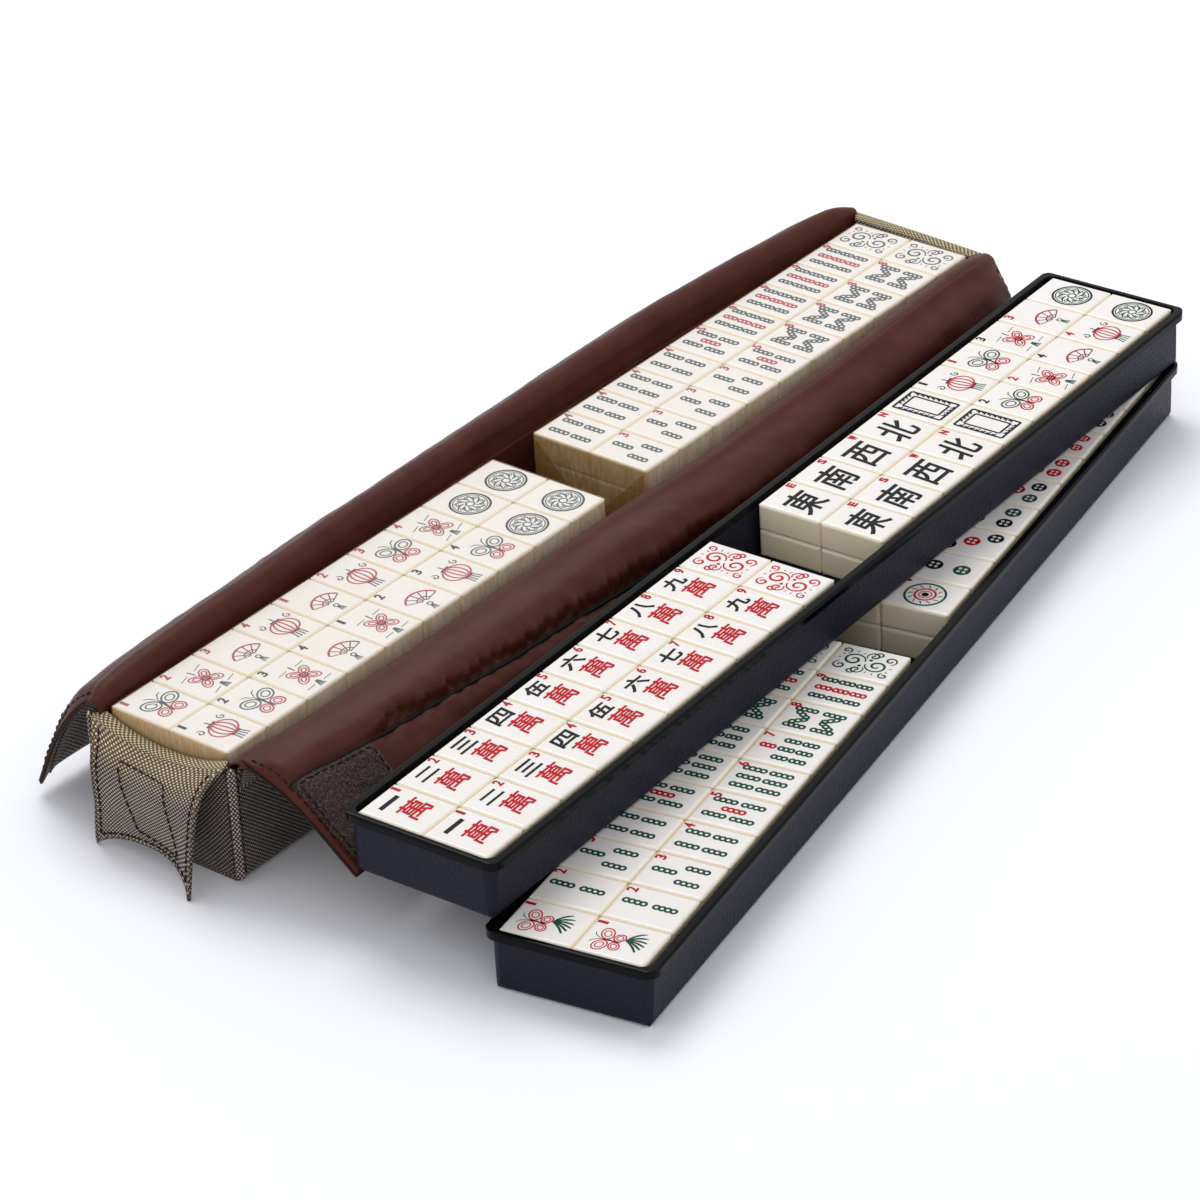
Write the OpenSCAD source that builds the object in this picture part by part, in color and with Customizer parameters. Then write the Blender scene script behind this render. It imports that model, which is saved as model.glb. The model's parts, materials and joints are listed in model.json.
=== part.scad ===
// Soft carrying case for a tile game set: an open fabric box with four hinged flaps,
// two wrapped blocks of tiles inside it, and two moulded trays of tiles beside it.
// Origin: centre of the case's base. +Y runs along the case, +X towards the trays.

/* [Tiles] */
// Short side of a tile, along the rows
tile_w = 22.8; // [20:0.1:26]
// Long side of a tile, across the rows
tile_l = 29.8; // [26:0.1:34]
// Thickness of a tile
tile_t = 12.2; // [9:0.1:16]
// Space between neighbouring tiles
tile_gap = 0.2; // [0.1:0.05:0.5]
// Rounding of a tile's edges
tile_r = 1.5; // [0.5:0.1:3]
// Rows of tiles in each group
rows = 10; // [4:1:12]
// Layers of tiles in a wrapped block
block_layers = 4; // [2:1:5]
// Layers of tiles in a tray
tray_layers = 2; // [1:1:3]
// Space left between the two blocks in the case
block_space = 26; // [10:1:40]
// Space left between the two groups in a tray
tray_space = 33.6; // [10:0.2:50]

/* [Case] */
// Thickness of the woven outer fabric
weave_t = 1.1; // [0.6:0.1:2]
// Thickness of a wall's stiffener board
board_t = 1.9; // [1:0.1:3]
// Thickness of the base's stiffener board
base_board_t = 3; // [1.5:0.1:5]
// Thickness of the satin lining with its backing
lining_t = 1; // [0.5:0.1:2]
// Side play between a block and the lining
block_side_play = 1.9; // [1:0.1:4]
// End play between a block and the lining
block_end_play = 1.3; // [0.6:0.1:4]
// How far the side walls stop below the blocks' top
side_wall_drop = 0.4; // [0:0.1:3]
// How far the end walls stop below the blocks' top
end_wall_drop = 2.4; // [1:0.1:6]
// Rounding of the case's long bottom edges
base_r = 4; // [2:0.5:6]
// Width of the stitched binding over each corner seam
binding_w = 3; // [2:0.5:6]
// Thickness of the stitched binding
binding_t = 0.6; // [0.3:0.1:1]
// Radius of the padded roll on each side wall
roll_r = 4.2; // [3:0.1:5.5]
// How far a padded roll's middle stands outside the wall
roll_out = 0.6; // [0.2:0.1:1.5]
// How far a padded roll's middle stands above the wall
roll_rise = 2.4; // [1.5:0.1:3]
// Distance that a padded roll stays short of the case's ends
roll_end = 10; // [6:0.5:20]

/* [Long flaps] */
// Length of a long flap from its hinge to its free edge
flap_len = 62; // [40:1:68]
// Distance that a long flap stays short of the case's ends
flap_end = 2.5; // [1:0.5:8]
// Thickness of a flap's lining
flap_lining_t = 0.6; // [0.4:0.1:1]
// Thickness of a flap's foam
flap_foam_t = 0.8; // [0.4:0.1:1.4]
// Thickness of a flap's woven outside
flap_weave_t = 0.6; // [0.4:0.1:1]
// Thickness of a loop or hook patch
patch_t = 0.7; // [0.4:0.1:1]
// Slope of the left flap where it leaves the wall, below the horizontal
left_slope = 48; // [30:1:49]
// Slope of the left flap at its free edge
left_slope_edge = 54; // [50:1:80]
// Slope of the right flap at the near end, where it leaves the wall
right_slope_near = 31; // [24:1:34]
// Slope of the right flap at the near end, at its free edge
right_slope_near_edge = 38; // [35:1:60]
// Slope of the right flap at the far end, where it leaves the wall
right_slope_far = 52; // [40:1:60]
// Slope of the right flap at the far end, at its free edge
right_slope_far_edge = 88; // [80:1:90]
// Swing of the right flap's edge in its loose folds, in degrees
right_fold = 2; // [0:0.5:4]

/* [End flaps] */
// Thickness of each of an end flap's two fabrics
end_flap_t = 0.7; // [0.4:0.1:1]
// Width of an end flap at its hinge
end_flap_w = 71; // [60:0.5:72]
// Width of an end flap at its narrowest
end_flap_waist = 55; // [40:0.5:60]
// Width of an end flap between its two points
end_flap_tip = 57; // [44:0.5:62]
// Length of an end flap along its sides
end_flap_len = 56.5; // [40:0.5:57]
// Depth of the arch between an end flap's points
end_flap_arch = 9; // [4:0.5:14]
// Slope of a hanging end flap, below the horizontal
end_flap_slope = 77; // [70:1:85]
// Width of an end flap's patch
end_patch_w = 24; // [16:1:30]
// Length of an end flap's patch
end_patch_l = 28; // [16:1:32]
// Distance from an end flap's hinge to its patch
end_patch_from = 14; // [10:1:18]

/* [Trays] */
// Thickness of a tray's floor
tray_floor = 1.6; // [1:0.1:3]
// Thickness of a tray's wall
tray_wall = 1.2; // [0.8:0.1:2]
// Side play between a tray's tiles and its wall at the floor
tray_side_play = 1.1; // [0.5:0.1:3]
// End play between a tray's tiles and its wall at the floor
tray_end_play = 0.2; // [0.1:0.1:2]
// How far a side wall leans out over its height
tray_side_lean = 1.2; // [0.4:0.1:3]
// How far an end wall leans out over its height
tray_end_lean = 0.5; // [0.2:0.1:2]
// How far the lip stands out from a side wall
lip_side_out = 2.2; // [1:0.1:4]
// How far the lip stands out from an end wall
lip_end_out = 1.3; // [0.6:0.1:3]
// Height of the lip
lip_h = 3.6; // [2:0.1:6]
// Rounding of the lip's top edges
lip_r = 1.1; // [0.4:0.1:1.5]
// How far the lip stands above the tiles
lip_over_tiles = 0.2; // [0:0.1:2]
// Corner radius of the lip, seen from above
tray_corner_r = 6; // [4:0.5:9]
// Rounding between a tray's floor and its walls
tray_base_r = 2.5; // [1:0.5:4]

/* [Layout] */
// Centre of the upper tray, towards +X
upper_x = 112.7; // [110:0.1:140]
// Centre of the upper tray, along Y
upper_y = 4.4; // [-20:0.1:20]
// Turn of the upper tray, seen from above
upper_turn = 2.8; // [2:0.1:3.4]
// Centre of the lower tray, towards +X
lower_x = 144.6; // [144:0.1:160]
// Centre of the lower tray, along Y
lower_y = 3.5; // [-20:0.1:20]
// Turn of the lower tray, seen from above
lower_turn = 10.65; // [9:0.05:11]

/* [Hidden] */

// Clearances and small values that several pieces share
touch = 0.05;
flap_clear = 0.3;
film_t = 0.15;
smooth = 48;
eps = 0.01;

// Colours
weave_beige = "#9c8d74";
weave_dark = "#4a3d33";
satin = "#4f2d28";
board_grey = "#b9ada0";
loop_brown = "#3a2724";
foam_grey = "#77706a";
film_tan = [0.79, 0.71, 0.52, 0.35];
ivory = "#f3ecdc";
tray_black = "#23252c";

// Tiles: a group is two columns of rows, centred on its own middle
pitch_w = tile_w + tile_gap;
pitch_l = tile_l + tile_gap;
group_len = rows * pitch_w;
group_half_w = pitch_l - tile_gap / 2;

// Blocks in the case
base_t = weave_t + base_board_t + lining_t;
block_shift = (group_len + block_space) / 2;
block_floor = base_t + film_t + touch;
block_top = block_floor + block_layers * tile_t + touch + film_t;
block_end = block_shift + group_len / 2 - tile_gap / 2;

// Case walls
wall_t = weave_t + board_t + lining_t;
inner_half_w = group_half_w + touch + film_t + block_side_play;
outer_half_w = inner_half_w + wall_t;
inner_half_l = block_end + block_end_play;
outer_half_l = inner_half_l + wall_t;
panel_half_l = outer_half_l - weave_t;
side_h = block_top - side_wall_drop;
end_h = block_top - end_wall_drop;
lining_floor = weave_t + base_board_t;

// Padded rolls and long flaps. The left flap folds over the closed end flaps and their
// patches, so its hinge lies higher than its roll's middle.
roll_x = outer_half_w + roll_out;
roll_z = side_h + roll_rise;
roll_half_l = outer_half_l - roll_end;
flap_t = flap_lining_t + flap_foam_t + flap_weave_t;
flap_half_l = outer_half_l - flap_end;
end_stack = 2 * end_flap_t + patch_t;
left_lift = 0.7;
hinge_z = block_top + flap_clear + end_stack + flap_clear + patch_t + left_lift;
left_start = roll_r + hinge_z - roll_z + touch;
right_start = roll_r + 2 * flap_clear;
flap_steps_y = 24;
flap_steps_s = 6;
patch_cells_y = 2;
patch_first_s = 2;

// End flaps: the cloth starts a little below its hinge, and hangs just clear of the
// outer edge of the wall's top
end_flap_start = 1;
end_hinge_z = block_top + flap_clear + end_flap_t;
end_hinge_out = (end_flap_t + flap_clear - (end_hinge_z - end_h) * cos(end_flap_slope))
    / sin(end_flap_slope);
end_hinge_y = outer_half_l + end_hinge_out;

// Trays
tray_h = tray_floor + tray_layers * tile_t + lip_over_tiles;
tray_in_w = group_half_w + tray_side_play;
tray_in_l = tray_space / 2 + group_len - tile_gap / 2 + tray_end_play;
tray_base_w = tray_in_w + tray_wall;
tray_base_l = tray_in_l + tray_wall;
tray_top_w = tray_base_w + tray_side_lean;
tray_top_l = tray_base_l + tray_end_lean;
lip_half_w = tray_top_w + lip_side_out;
lip_half_l = tray_top_l + lip_end_out;
tray_shift = (group_len + tray_space) / 2;
tray_inner_corner = tray_corner_r - tray_wall;
base_steps = 5;

function mix(a, b, t) = a + (b - a) * t;

// ---------- shared shapes ----------

module rounded_rect(half_x, half_y, r) {
    square([2 * (half_x - r), 2 * half_y], center = true);
    square([2 * half_x, 2 * (half_y - r)], center = true);
    for (x = [-1, 1], y = [-1, 1])
        translate([x * (half_x - r), y * (half_y - r)])
            circle(r = r, $fn = smooth);
}

// A slab between two corners
module slab(low, high) {
    translate(low)
        cube(high - low);
}

// An upright outline in X and Z, extruded along Y between two places
module along_y(from, to) {
    translate([0, to, 0])
        rotate([90, 0, 0])
            linear_extrude(height = to - from)
                children();
}

// An upright outline in Y and Z, extruded along X between two places
module along_x(from, to) {
    translate([from, 0, 0])
        rotate([90, 0, 90])
            linear_extrude(height = to - from)
                children();
}

// One tile, standing on z = 0, with all its edges rounded
module tile() {
    intersection() {
        linear_extrude(height = tile_t)
            rounded_rect(tile_l / 2, tile_w / 2, tile_r);
        translate([0, 0, tile_t / 2])
            along_y(-tile_w / 2, tile_w / 2)
                rounded_rect(tile_l / 2, tile_t / 2, tile_r);
        translate([0, 0, tile_t / 2])
            along_x(-tile_l / 2, tile_l / 2)
                rounded_rect(tile_w / 2, tile_t / 2, tile_r);
    }
}

// One layer of a group: two columns of tiles
module tile_layer(shift, floor_z) {
    for (x = [-1, 1], row = [0 : rows - 1])
        translate([x * pitch_l / 2, shift - group_len / 2 + (row + 0.5) * pitch_w, floor_z])
            tile();
}

// ---------- case: woven outside ----------

// Cross-section of a side wall, with its rounded bottom edge
module side_section() {
    difference() {
        union() {
            translate([outer_half_w - base_r, base_r])
                circle(r = base_r, $fn = smooth);
            translate([outer_half_w - weave_t, base_r])
                square([weave_t, side_h - base_r]);
        }
        translate([outer_half_w - base_r, base_r])
            circle(r = base_r - weave_t, $fn = smooth);
        translate([outer_half_w - 2 * base_r, -eps])
            square([base_r, 2 * base_r + 2 * eps]);
        translate([outer_half_w - base_r - eps, base_r])
            square([base_r - weave_t + eps, base_r + eps]);
    }
}

// End wall outline, with the same rounded bottom corners
module end_section() {
    translate([-outer_half_w, base_r])
        square([2 * outer_half_w, end_h - base_r]);
    translate([-outer_half_w + base_r, 0])
        square([2 * (outer_half_w - base_r), base_r]);
    for (x = [-1, 1])
        translate([x * (outer_half_w - base_r), base_r])
            circle(r = base_r, $fn = smooth);
}

module base_fabric() {
    color(weave_dark)
        slab([-outer_half_w + base_r, -panel_half_l, 0], [outer_half_w - base_r, panel_half_l, weave_t]);
}

module right_wall_fabric() {
    color(weave_dark)
        along_y(-panel_half_l, panel_half_l)
            side_section();
}

module left_wall_fabric() {
    color(weave_dark)
        along_y(-panel_half_l, panel_half_l)
            mirror([1, 0])
                side_section();
}

module near_wall_fabric() {
    color(weave_beige)
        along_y(-outer_half_l, -panel_half_l)
            end_section();
}

module far_wall_fabric() {
    color(weave_beige)
        along_y(panel_half_l, outer_half_l)
            end_section();
}

// A strip of binding folded over each corner seam, on the side walls
module corner_bindings() {
    color(weave_beige)
        for (x = [-1, 1], y = [-1, 1])
            translate([x * (outer_half_w + binding_t / 2), y * (outer_half_l - binding_w / 2), 0])
                translate([0, 0, (base_r + end_h) / 2])
                    cube([binding_t, binding_w, end_h - base_r], center = true);
}

// ---------- case: stiffener boards ----------

module base_board() {
    color(board_grey)
        slab([-inner_half_w, -panel_half_l, weave_t], [inner_half_w, panel_half_l, lining_floor]);
}

module side_board(x) {
    color(board_grey)
        slab([x, -panel_half_l, lining_floor], [x + board_t, panel_half_l, side_h]);
}

module right_board() {
    side_board(inner_half_w + lining_t);
}

module left_board() {
    side_board(-inner_half_w - lining_t - board_t);
}

module end_board(y) {
    color(board_grey)
        slab([-inner_half_w, y, base_t], [inner_half_w, y + board_t, end_h]);
}

module near_board() {
    end_board(-panel_half_l);
}

module far_board() {
    end_board(panel_half_l - board_t);
}

// ---------- case: satin lining ----------

module base_lining() {
    color(satin)
        slab([-inner_half_w, -panel_half_l, lining_floor], [inner_half_w, panel_half_l, base_t]);
}

module side_lining(x) {
    color(satin)
        slab([x, -panel_half_l, lining_floor], [x + lining_t, panel_half_l, side_h]);
}

module right_lining() {
    side_lining(inner_half_w);
}

module left_lining() {
    side_lining(-inner_half_w - lining_t);
}

module end_lining(y) {
    color(satin)
        slab([-inner_half_w, y, base_t], [inner_half_w, y + lining_t, end_h]);
}

module near_lining() {
    end_lining(-inner_half_l - lining_t);
}

module far_lining() {
    end_lining(inner_half_l);
}

// Padded roll that sits on the right wall's top edge and overhangs its outside
module roll() {
    color(satin)
        along_y(-roll_half_l, roll_half_l)
            difference() {
                translate([roll_x, roll_z])
                    circle(r = roll_r, $fn = smooth);
                translate([0, side_h - 2 * roll_r])
                    square([outer_half_w, 2 * roll_r]);
            }
}

module right_roll() {
    roll();
}

module left_roll() {
    mirror([1, 0, 0])
        roll();
}

// ---------- long flaps ----------

// A hanging flap is a sheet whose slope grows steadily from its hinge to its free edge,
// so each cross-section is an arc. s is the distance from the hinge, t runs along the case,
// and lift is the lining's distance above the line through the hinge.
function arc_r(slopes) = flap_len * 180 / (PI * (slopes[1] - slopes[0]));
function sheet_x(slopes, s, off) =
    arc_r(slopes) * (sin(mix(slopes[0], slopes[1], s / flap_len)) - sin(slopes[0]))
    + off * sin(mix(slopes[0], slopes[1], s / flap_len));
function sheet_z(slopes, s, off) =
    arc_r(slopes) * (cos(mix(slopes[0], slopes[1], s / flap_len)) - cos(slopes[0]))
    + off * cos(mix(slopes[0], slopes[1], s / flap_len));

// Slopes of each flap at t, from 0 at the near end to 1 at the far end
left_slopes = [left_slope, left_slope_edge];
function right_slopes(t) = [
    mix(right_slope_near, right_slope_far, t),
    mix(right_slope_near_edge, right_slope_far_edge, t) + right_fold * sin(t * 180) * sin(t * 1440)
];

// A layer of a sheet between two offsets, over part of its grid of cells
module sheet_layer(slopes_at, start, rise, low, high, first_y, last_y, first_s, last_s) {
    ny = last_y - first_y;
    ns = last_s - first_s;
    function corner(i, j, off) =
        let (t = (first_y + i) / flap_steps_y)
        let (s = mix(start, flap_len, (first_s + j) / flap_steps_s))
        [
            sheet_x(slopes_at(t), s, off) + rise * sin(slopes_at(t)[0]),
            mix(-flap_half_l, flap_half_l, t),
            sheet_z(slopes_at(t), s, off) + rise * cos(slopes_at(t)[0])
        ];
    points = [for (off = [low, high], i = [0 : ny], j = [0 : ns]) corner(i, j, off)];
    side = (ny + 1) * (ns + 1);
    function at(i, j) = i * (ns + 1) + j;
    under = [
        for (i = [0 : ny - 1], j = [0 : ns - 1], half = [0, 1])
            half == 0
                ? [at(i, j), at(i, j + 1), at(i + 1, j + 1)]
                : [at(i, j), at(i + 1, j + 1), at(i + 1, j)]
    ];
    over = [for (f = under) [f[2] + side, f[1] + side, f[0] + side]];
    near_far = [
        for (j = [0 : ns - 1], end = [0, ny], half = [0, 1])
            let (a = at(end, j), b = at(end, j + 1))
            let (f = half == 0 ? [a, a + side, b + side] : [a, b + side, b])
            end == 0 ? f : [f[2], f[1], f[0]]
    ];
    edges = [
        for (i = [0 : ny - 1], end = [0, ns], half = [0, 1])
            let (a = at(i, end), b = at(i + 1, end))
            let (f = half == 0 ? [a, b, b + side] : [a, b + side, a + side])
            end == 0 ? f : [f[2], f[1], f[0]]
    ];
    polyhedron(points = points, faces = concat(under, over, near_far, edges), convexity = 4);
}

module right_place() {
    translate([roll_x, 0, roll_z])
        children();
}

module left_place() {
    translate([-roll_x, 0, hinge_z])
        mirror([1, 0, 0])
            children();
}

module right_layer(low, high) {
    right_place()
        sheet_layer(function(t) right_slopes(t), right_start, roll_r, low, high,
            0, flap_steps_y, 0, flap_steps_s);
}

module left_layer(low, high) {
    left_place()
        sheet_layer(function(t) left_slopes, left_start, left_lift, low, high,
            0, flap_steps_y, 0, flap_steps_s);
}

// The first cell of the patch at each end of a flap
function patch_starts() = [0, flap_steps_y - patch_cells_y];

module left_flap_lining() {
    color(satin)
        left_layer(-flap_lining_t, 0);
}

module left_flap_foam() {
    color(foam_grey)
        left_layer(-flap_lining_t - flap_foam_t, -flap_lining_t);
}

module left_flap_fabric() {
    color(weave_dark)
        left_layer(-flap_t, -flap_lining_t - flap_foam_t);
}

module left_flap_loops() {
    color(loop_brown)
        for (first = patch_starts())
            left_place()
                sheet_layer(function(t) left_slopes, left_start, left_lift, 0, patch_t,
                    first, first + patch_cells_y, patch_first_s, flap_steps_s);
}

module left_flap_hooks() {
    color(loop_brown)
        for (first = patch_starts())
            left_place()
                sheet_layer(function(t) left_slopes, left_start, left_lift,
                    -flap_t - patch_t, -flap_t,
                    first, first + patch_cells_y, patch_first_s, flap_steps_s);
}

module right_flap_lining() {
    color(satin)
        right_layer(-flap_lining_t, 0);
}

module right_flap_foam() {
    color(foam_grey)
        right_layer(-flap_lining_t - flap_foam_t, -flap_lining_t);
}

module right_flap_fabric() {
    color(weave_dark)
        right_layer(-flap_t, -flap_lining_t - flap_foam_t);
}

module right_flap_loops() {
    color(loop_brown)
        for (first = patch_starts())
            right_place()
                sheet_layer(function(t) right_slopes(t), right_start, roll_r, 0, patch_t,
                    first, first + patch_cells_y, patch_first_s, flap_steps_s);
}

// ---------- end flaps ----------

// Radius of the arc with a given chord and depth
function arc_of(chord, depth) = (chord * chord / 4 + depth * depth) / (2 * depth);

// Outline of an end flap: s grows downwards from its hinge along +Y
module end_flap_outline() {
    top = end_flap_w / 2;
    tip = end_flap_tip / 2;
    waist = end_flap_waist / 2;
    dip = (top + tip) / 2 - waist;
    side_len = norm([end_flap_len, top - tip]);
    side_r = arc_of(side_len, dip);
    arch_r = arc_of(end_flap_tip, end_flap_arch);
    lean = atan2(top - tip, end_flap_len);
    difference() {
        polygon([[-top, 0], [top, 0], [tip, end_flap_len], [-tip, end_flap_len]]);
        for (x = [-1, 1])
            translate([x * (top + tip) / 2, end_flap_len / 2])
                rotate(x * lean)
                    translate([x * (side_r - dip), 0])
                        circle(r = side_r, $fn = 2 * smooth);
        translate([0, end_flap_len + arch_r - end_flap_arch])
            circle(r = arch_r, $fn = 2 * smooth);
        translate([-end_flap_w, -eps])
            square([2 * end_flap_w, end_flap_start + eps]);
    }
}

// Lays an outline in the hanging near flap, from low on the wall's side to high outside
module near_flap_place(low, high) {
    translate([0, -end_hinge_y, end_hinge_z])
        rotate([end_flap_slope, 0, 0])
            rotate([0, 0, 180])
                translate([0, 0, low])
                    linear_extrude(height = high - low)
                        children();
}

module end_flap_inner() {
    near_flap_place(0, end_flap_t)
        end_flap_outline();
}

module end_flap_outer() {
    near_flap_place(-end_flap_t, 0)
        end_flap_outline();
}

module end_flap_patch() {
    near_flap_place(-end_flap_t - patch_t, -end_flap_t)
        translate([-end_patch_w / 2, end_patch_from])
            square([end_patch_w, end_patch_l]);
}

module near_flap_inner() {
    color(weave_beige)
        end_flap_inner();
}

module near_flap_outer() {
    color(weave_dark)
        end_flap_outer();
}

module near_flap_patch() {
    color(loop_brown)
        end_flap_patch();
}

module far_flap_inner() {
    color(weave_beige)
        mirror([0, 1, 0])
            end_flap_inner();
}

module far_flap_outer() {
    color(weave_dark)
        mirror([0, 1, 0])
            end_flap_outer();
}

module far_flap_patch() {
    color(loop_brown)
        mirror([0, 1, 0])
            end_flap_patch();
}

// ---------- wrapped blocks ----------

// Shrink film round a block's four long faces
module block_film(shift) {
    half_x = group_half_w + touch;
    half_z = block_layers * tile_t / 2 + touch;
    color(film_tan)
        translate([0, shift, base_t + film_t + half_z])
            along_y(-group_len / 2 + tile_gap / 2, group_len / 2 - tile_gap / 2)
                difference() {
                    square(2 * [half_x + film_t, half_z + film_t], center = true);
                    square(2 * [half_x, half_z], center = true);
                }
}

module block_layer(shift, layer) {
    color(ivory)
        tile_layer(shift, block_floor + (layer - 1) * tile_t);
}

module near_block_film() {
    block_film(-block_shift);
}

module near_block_layer_1() {
    block_layer(-block_shift, 1);
}

module near_block_layer_2() {
    block_layer(-block_shift, 2);
}

module near_block_layer_3() {
    block_layer(-block_shift, 3);
}

module near_block_layer_4() {
    block_layer(-block_shift, 4);
}

module far_block_film() {
    block_film(block_shift);
}

module far_block_layer_1() {
    block_layer(block_shift, 1);
}

module far_block_layer_2() {
    block_layer(block_shift, 2);
}

module far_block_layer_3() {
    block_layer(block_shift, 3);
}

module far_block_layer_4() {
    block_layer(block_shift, 4);
}

// ---------- trays ----------

module upper_place() {
    translate([upper_x, upper_y, tray_h])
        rotate([0, 0, upper_turn])
            children();
}

module lower_place() {
    translate([lower_x, lower_y, 0])
        rotate([0, 0, lower_turn])
            children();
}

// Section of a leaning-walled box with rounded bottom edges, up to height h
module tray_section(base_half, top_half, r, h) {
    function bend(step) =
        let (a = 90 * step / base_steps)
        [base_half - r * (1 - cos(a)), r * (1 - sin(a))];
    polygon([
        [-top_half, h],
        for (step = [0 : base_steps]) [-bend(step)[0], bend(step)[1]],
        for (step = [base_steps : -1 : 0]) bend(step),
        [top_half, h]
    ]);
}

// The solid inside a tray's outer faces, or inside its inner faces
module tray_form(base_w, top_w, base_l, top_l, corner, r, h) {
    intersection() {
        along_y(-top_l, top_l)
            tray_section(base_w, top_w, r, h);
        along_x(-top_w, top_w)
            tray_section(base_l, top_l, r, h);
        linear_extrude(height = h)
            rounded_rect(top_w, top_l, corner);
    }
}

// The bead round a tray's mouth, with rounded top edges
module tray_lip() {
    intersection() {
        translate([0, 0, tray_h - lip_h])
            linear_extrude(height = lip_h)
                rounded_rect(lip_half_w, lip_half_l, tray_corner_r);
        along_y(-lip_half_l, lip_half_l)
            translate([0, tray_h - 2 * lip_h])
                rounded_rect(lip_half_w, 2 * lip_h, lip_r);
        along_x(-lip_half_w, lip_half_w)
            translate([0, tray_h - 2 * lip_h])
                rounded_rect(lip_half_l, 2 * lip_h, lip_r);
    }
}

module tray() {
    color(tray_black)
        difference() {
            union() {
                tray_form(tray_base_w, tray_top_w, tray_base_l, tray_top_l,
                    tray_corner_r, tray_base_r, tray_h);
                tray_lip();
            }
            translate([0, 0, tray_floor])
                tray_form(tray_in_w, tray_top_w - tray_wall, tray_in_l, tray_top_l - tray_wall,
                    tray_inner_corner, eps, tray_h);
        }
}

module tray_tiles(shift, layer) {
    color(ivory)
        tile_layer(shift, tray_floor + layer * tile_t);
}

module upper_tray() {
    upper_place()
        tray();
}

module upper_near_tiles_low() {
    upper_place()
        tray_tiles(-tray_shift, 0);
}

module upper_near_tiles_top() {
    upper_place()
        tray_tiles(-tray_shift, tray_layers - 1);
}

module upper_far_tiles_low() {
    upper_place()
        tray_tiles(tray_shift, 0);
}

module upper_far_tiles_top() {
    upper_place()
        tray_tiles(tray_shift, tray_layers - 1);
}

module lower_tray() {
    lower_place()
        tray();
}

module lower_near_tiles_low() {
    lower_place()
        tray_tiles(-tray_shift, 0);
}

module lower_near_tiles_top() {
    lower_place()
        tray_tiles(-tray_shift, tray_layers - 1);
}

module lower_far_tiles_low() {
    lower_place()
        tray_tiles(tray_shift, 0);
}

module lower_far_tiles_top() {
    lower_place()
        tray_tiles(tray_shift, tray_layers - 1);
}

base_fabric();
left_wall_fabric();
right_wall_fabric();
near_wall_fabric();
far_wall_fabric();
base_board();
left_board();
right_board();
near_board();
far_board();
base_lining();
left_lining();
right_lining();
near_lining();
far_lining();
corner_bindings();
left_roll();
right_roll();
left_flap_lining();
left_flap_foam();
left_flap_fabric();
left_flap_loops();
left_flap_hooks();
right_flap_lining();
right_flap_foam();
right_flap_fabric();
right_flap_loops();
near_flap_inner();
near_flap_outer();
near_flap_patch();
far_flap_inner();
far_flap_outer();
far_flap_patch();
near_block_film();
near_block_layer_1();
near_block_layer_2();
near_block_layer_3();
near_block_layer_4();
far_block_film();
far_block_layer_1();
far_block_layer_2();
far_block_layer_3();
far_block_layer_4();
upper_tray();
upper_near_tiles_low();
upper_near_tiles_top();
upper_far_tiles_low();
upper_far_tiles_top();
lower_tray();
lower_near_tiles_low();
lower_near_tiles_top();
lower_far_tiles_low();
lower_far_tiles_top();
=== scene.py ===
import json
import math

import bpy
import bmesh
from mathutils import Matrix, Vector, noise


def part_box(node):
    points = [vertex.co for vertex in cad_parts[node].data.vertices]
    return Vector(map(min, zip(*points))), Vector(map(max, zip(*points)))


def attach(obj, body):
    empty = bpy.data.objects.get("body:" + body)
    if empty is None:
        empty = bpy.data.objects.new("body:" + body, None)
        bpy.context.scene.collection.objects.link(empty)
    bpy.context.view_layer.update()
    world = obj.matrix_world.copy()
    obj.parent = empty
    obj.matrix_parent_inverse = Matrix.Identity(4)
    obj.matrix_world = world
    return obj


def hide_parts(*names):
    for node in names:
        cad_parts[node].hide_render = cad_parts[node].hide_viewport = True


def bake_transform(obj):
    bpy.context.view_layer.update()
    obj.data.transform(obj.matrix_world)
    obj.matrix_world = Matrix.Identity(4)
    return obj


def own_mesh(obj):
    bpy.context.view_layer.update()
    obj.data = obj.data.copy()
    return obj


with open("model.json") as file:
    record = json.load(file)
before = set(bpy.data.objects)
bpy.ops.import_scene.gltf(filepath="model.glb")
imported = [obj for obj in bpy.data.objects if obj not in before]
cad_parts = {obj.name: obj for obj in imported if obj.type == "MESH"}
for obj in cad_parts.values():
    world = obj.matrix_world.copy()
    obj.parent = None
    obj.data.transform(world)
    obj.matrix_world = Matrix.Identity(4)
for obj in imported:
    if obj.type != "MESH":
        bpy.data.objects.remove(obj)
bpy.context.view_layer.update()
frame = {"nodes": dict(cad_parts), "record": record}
print("frame: loaded", len(frame["nodes"]), "nodes")

# Places that the frame gives, in metres. +Y runs along the case, +X towards the trays.
mm = 0.001
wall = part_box("right_wall_fabric")[1]
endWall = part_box("far_wall_fabric")[1]
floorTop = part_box("base_lining")[1].z
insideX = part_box("right_lining")[0].x
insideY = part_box("far_lining")[0].y


def colour(code):
    # sRGB hex to the linear values that the shaders want
    channels = [int(code[i:i + 2], 16) / 255 for i in (1, 3, 5)]
    return [c / 12.92 if c <= 0.04045 else ((c + 0.055) / 1.055) ** 2.4 for c in channels] + [1.0]


def addNode(tree, kind, settings=None, links=None):
    # A settings or links key is a socket's name or number, or else a property of the node. A link
    # comes from a socket, or from a node's first output.
    node = tree.nodes.new("ShaderNode" + kind)
    for key, value in (settings or {}).items():
        if isinstance(key, int) or key in node.inputs:
            node.inputs[key].default_value = value
        else:
            setattr(node, key, value)
    for key, source in (links or {}).items():
        tree.links.new(source.outputs[0] if hasattr(source, "outputs") else source, node.inputs[key])
    return node


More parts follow.
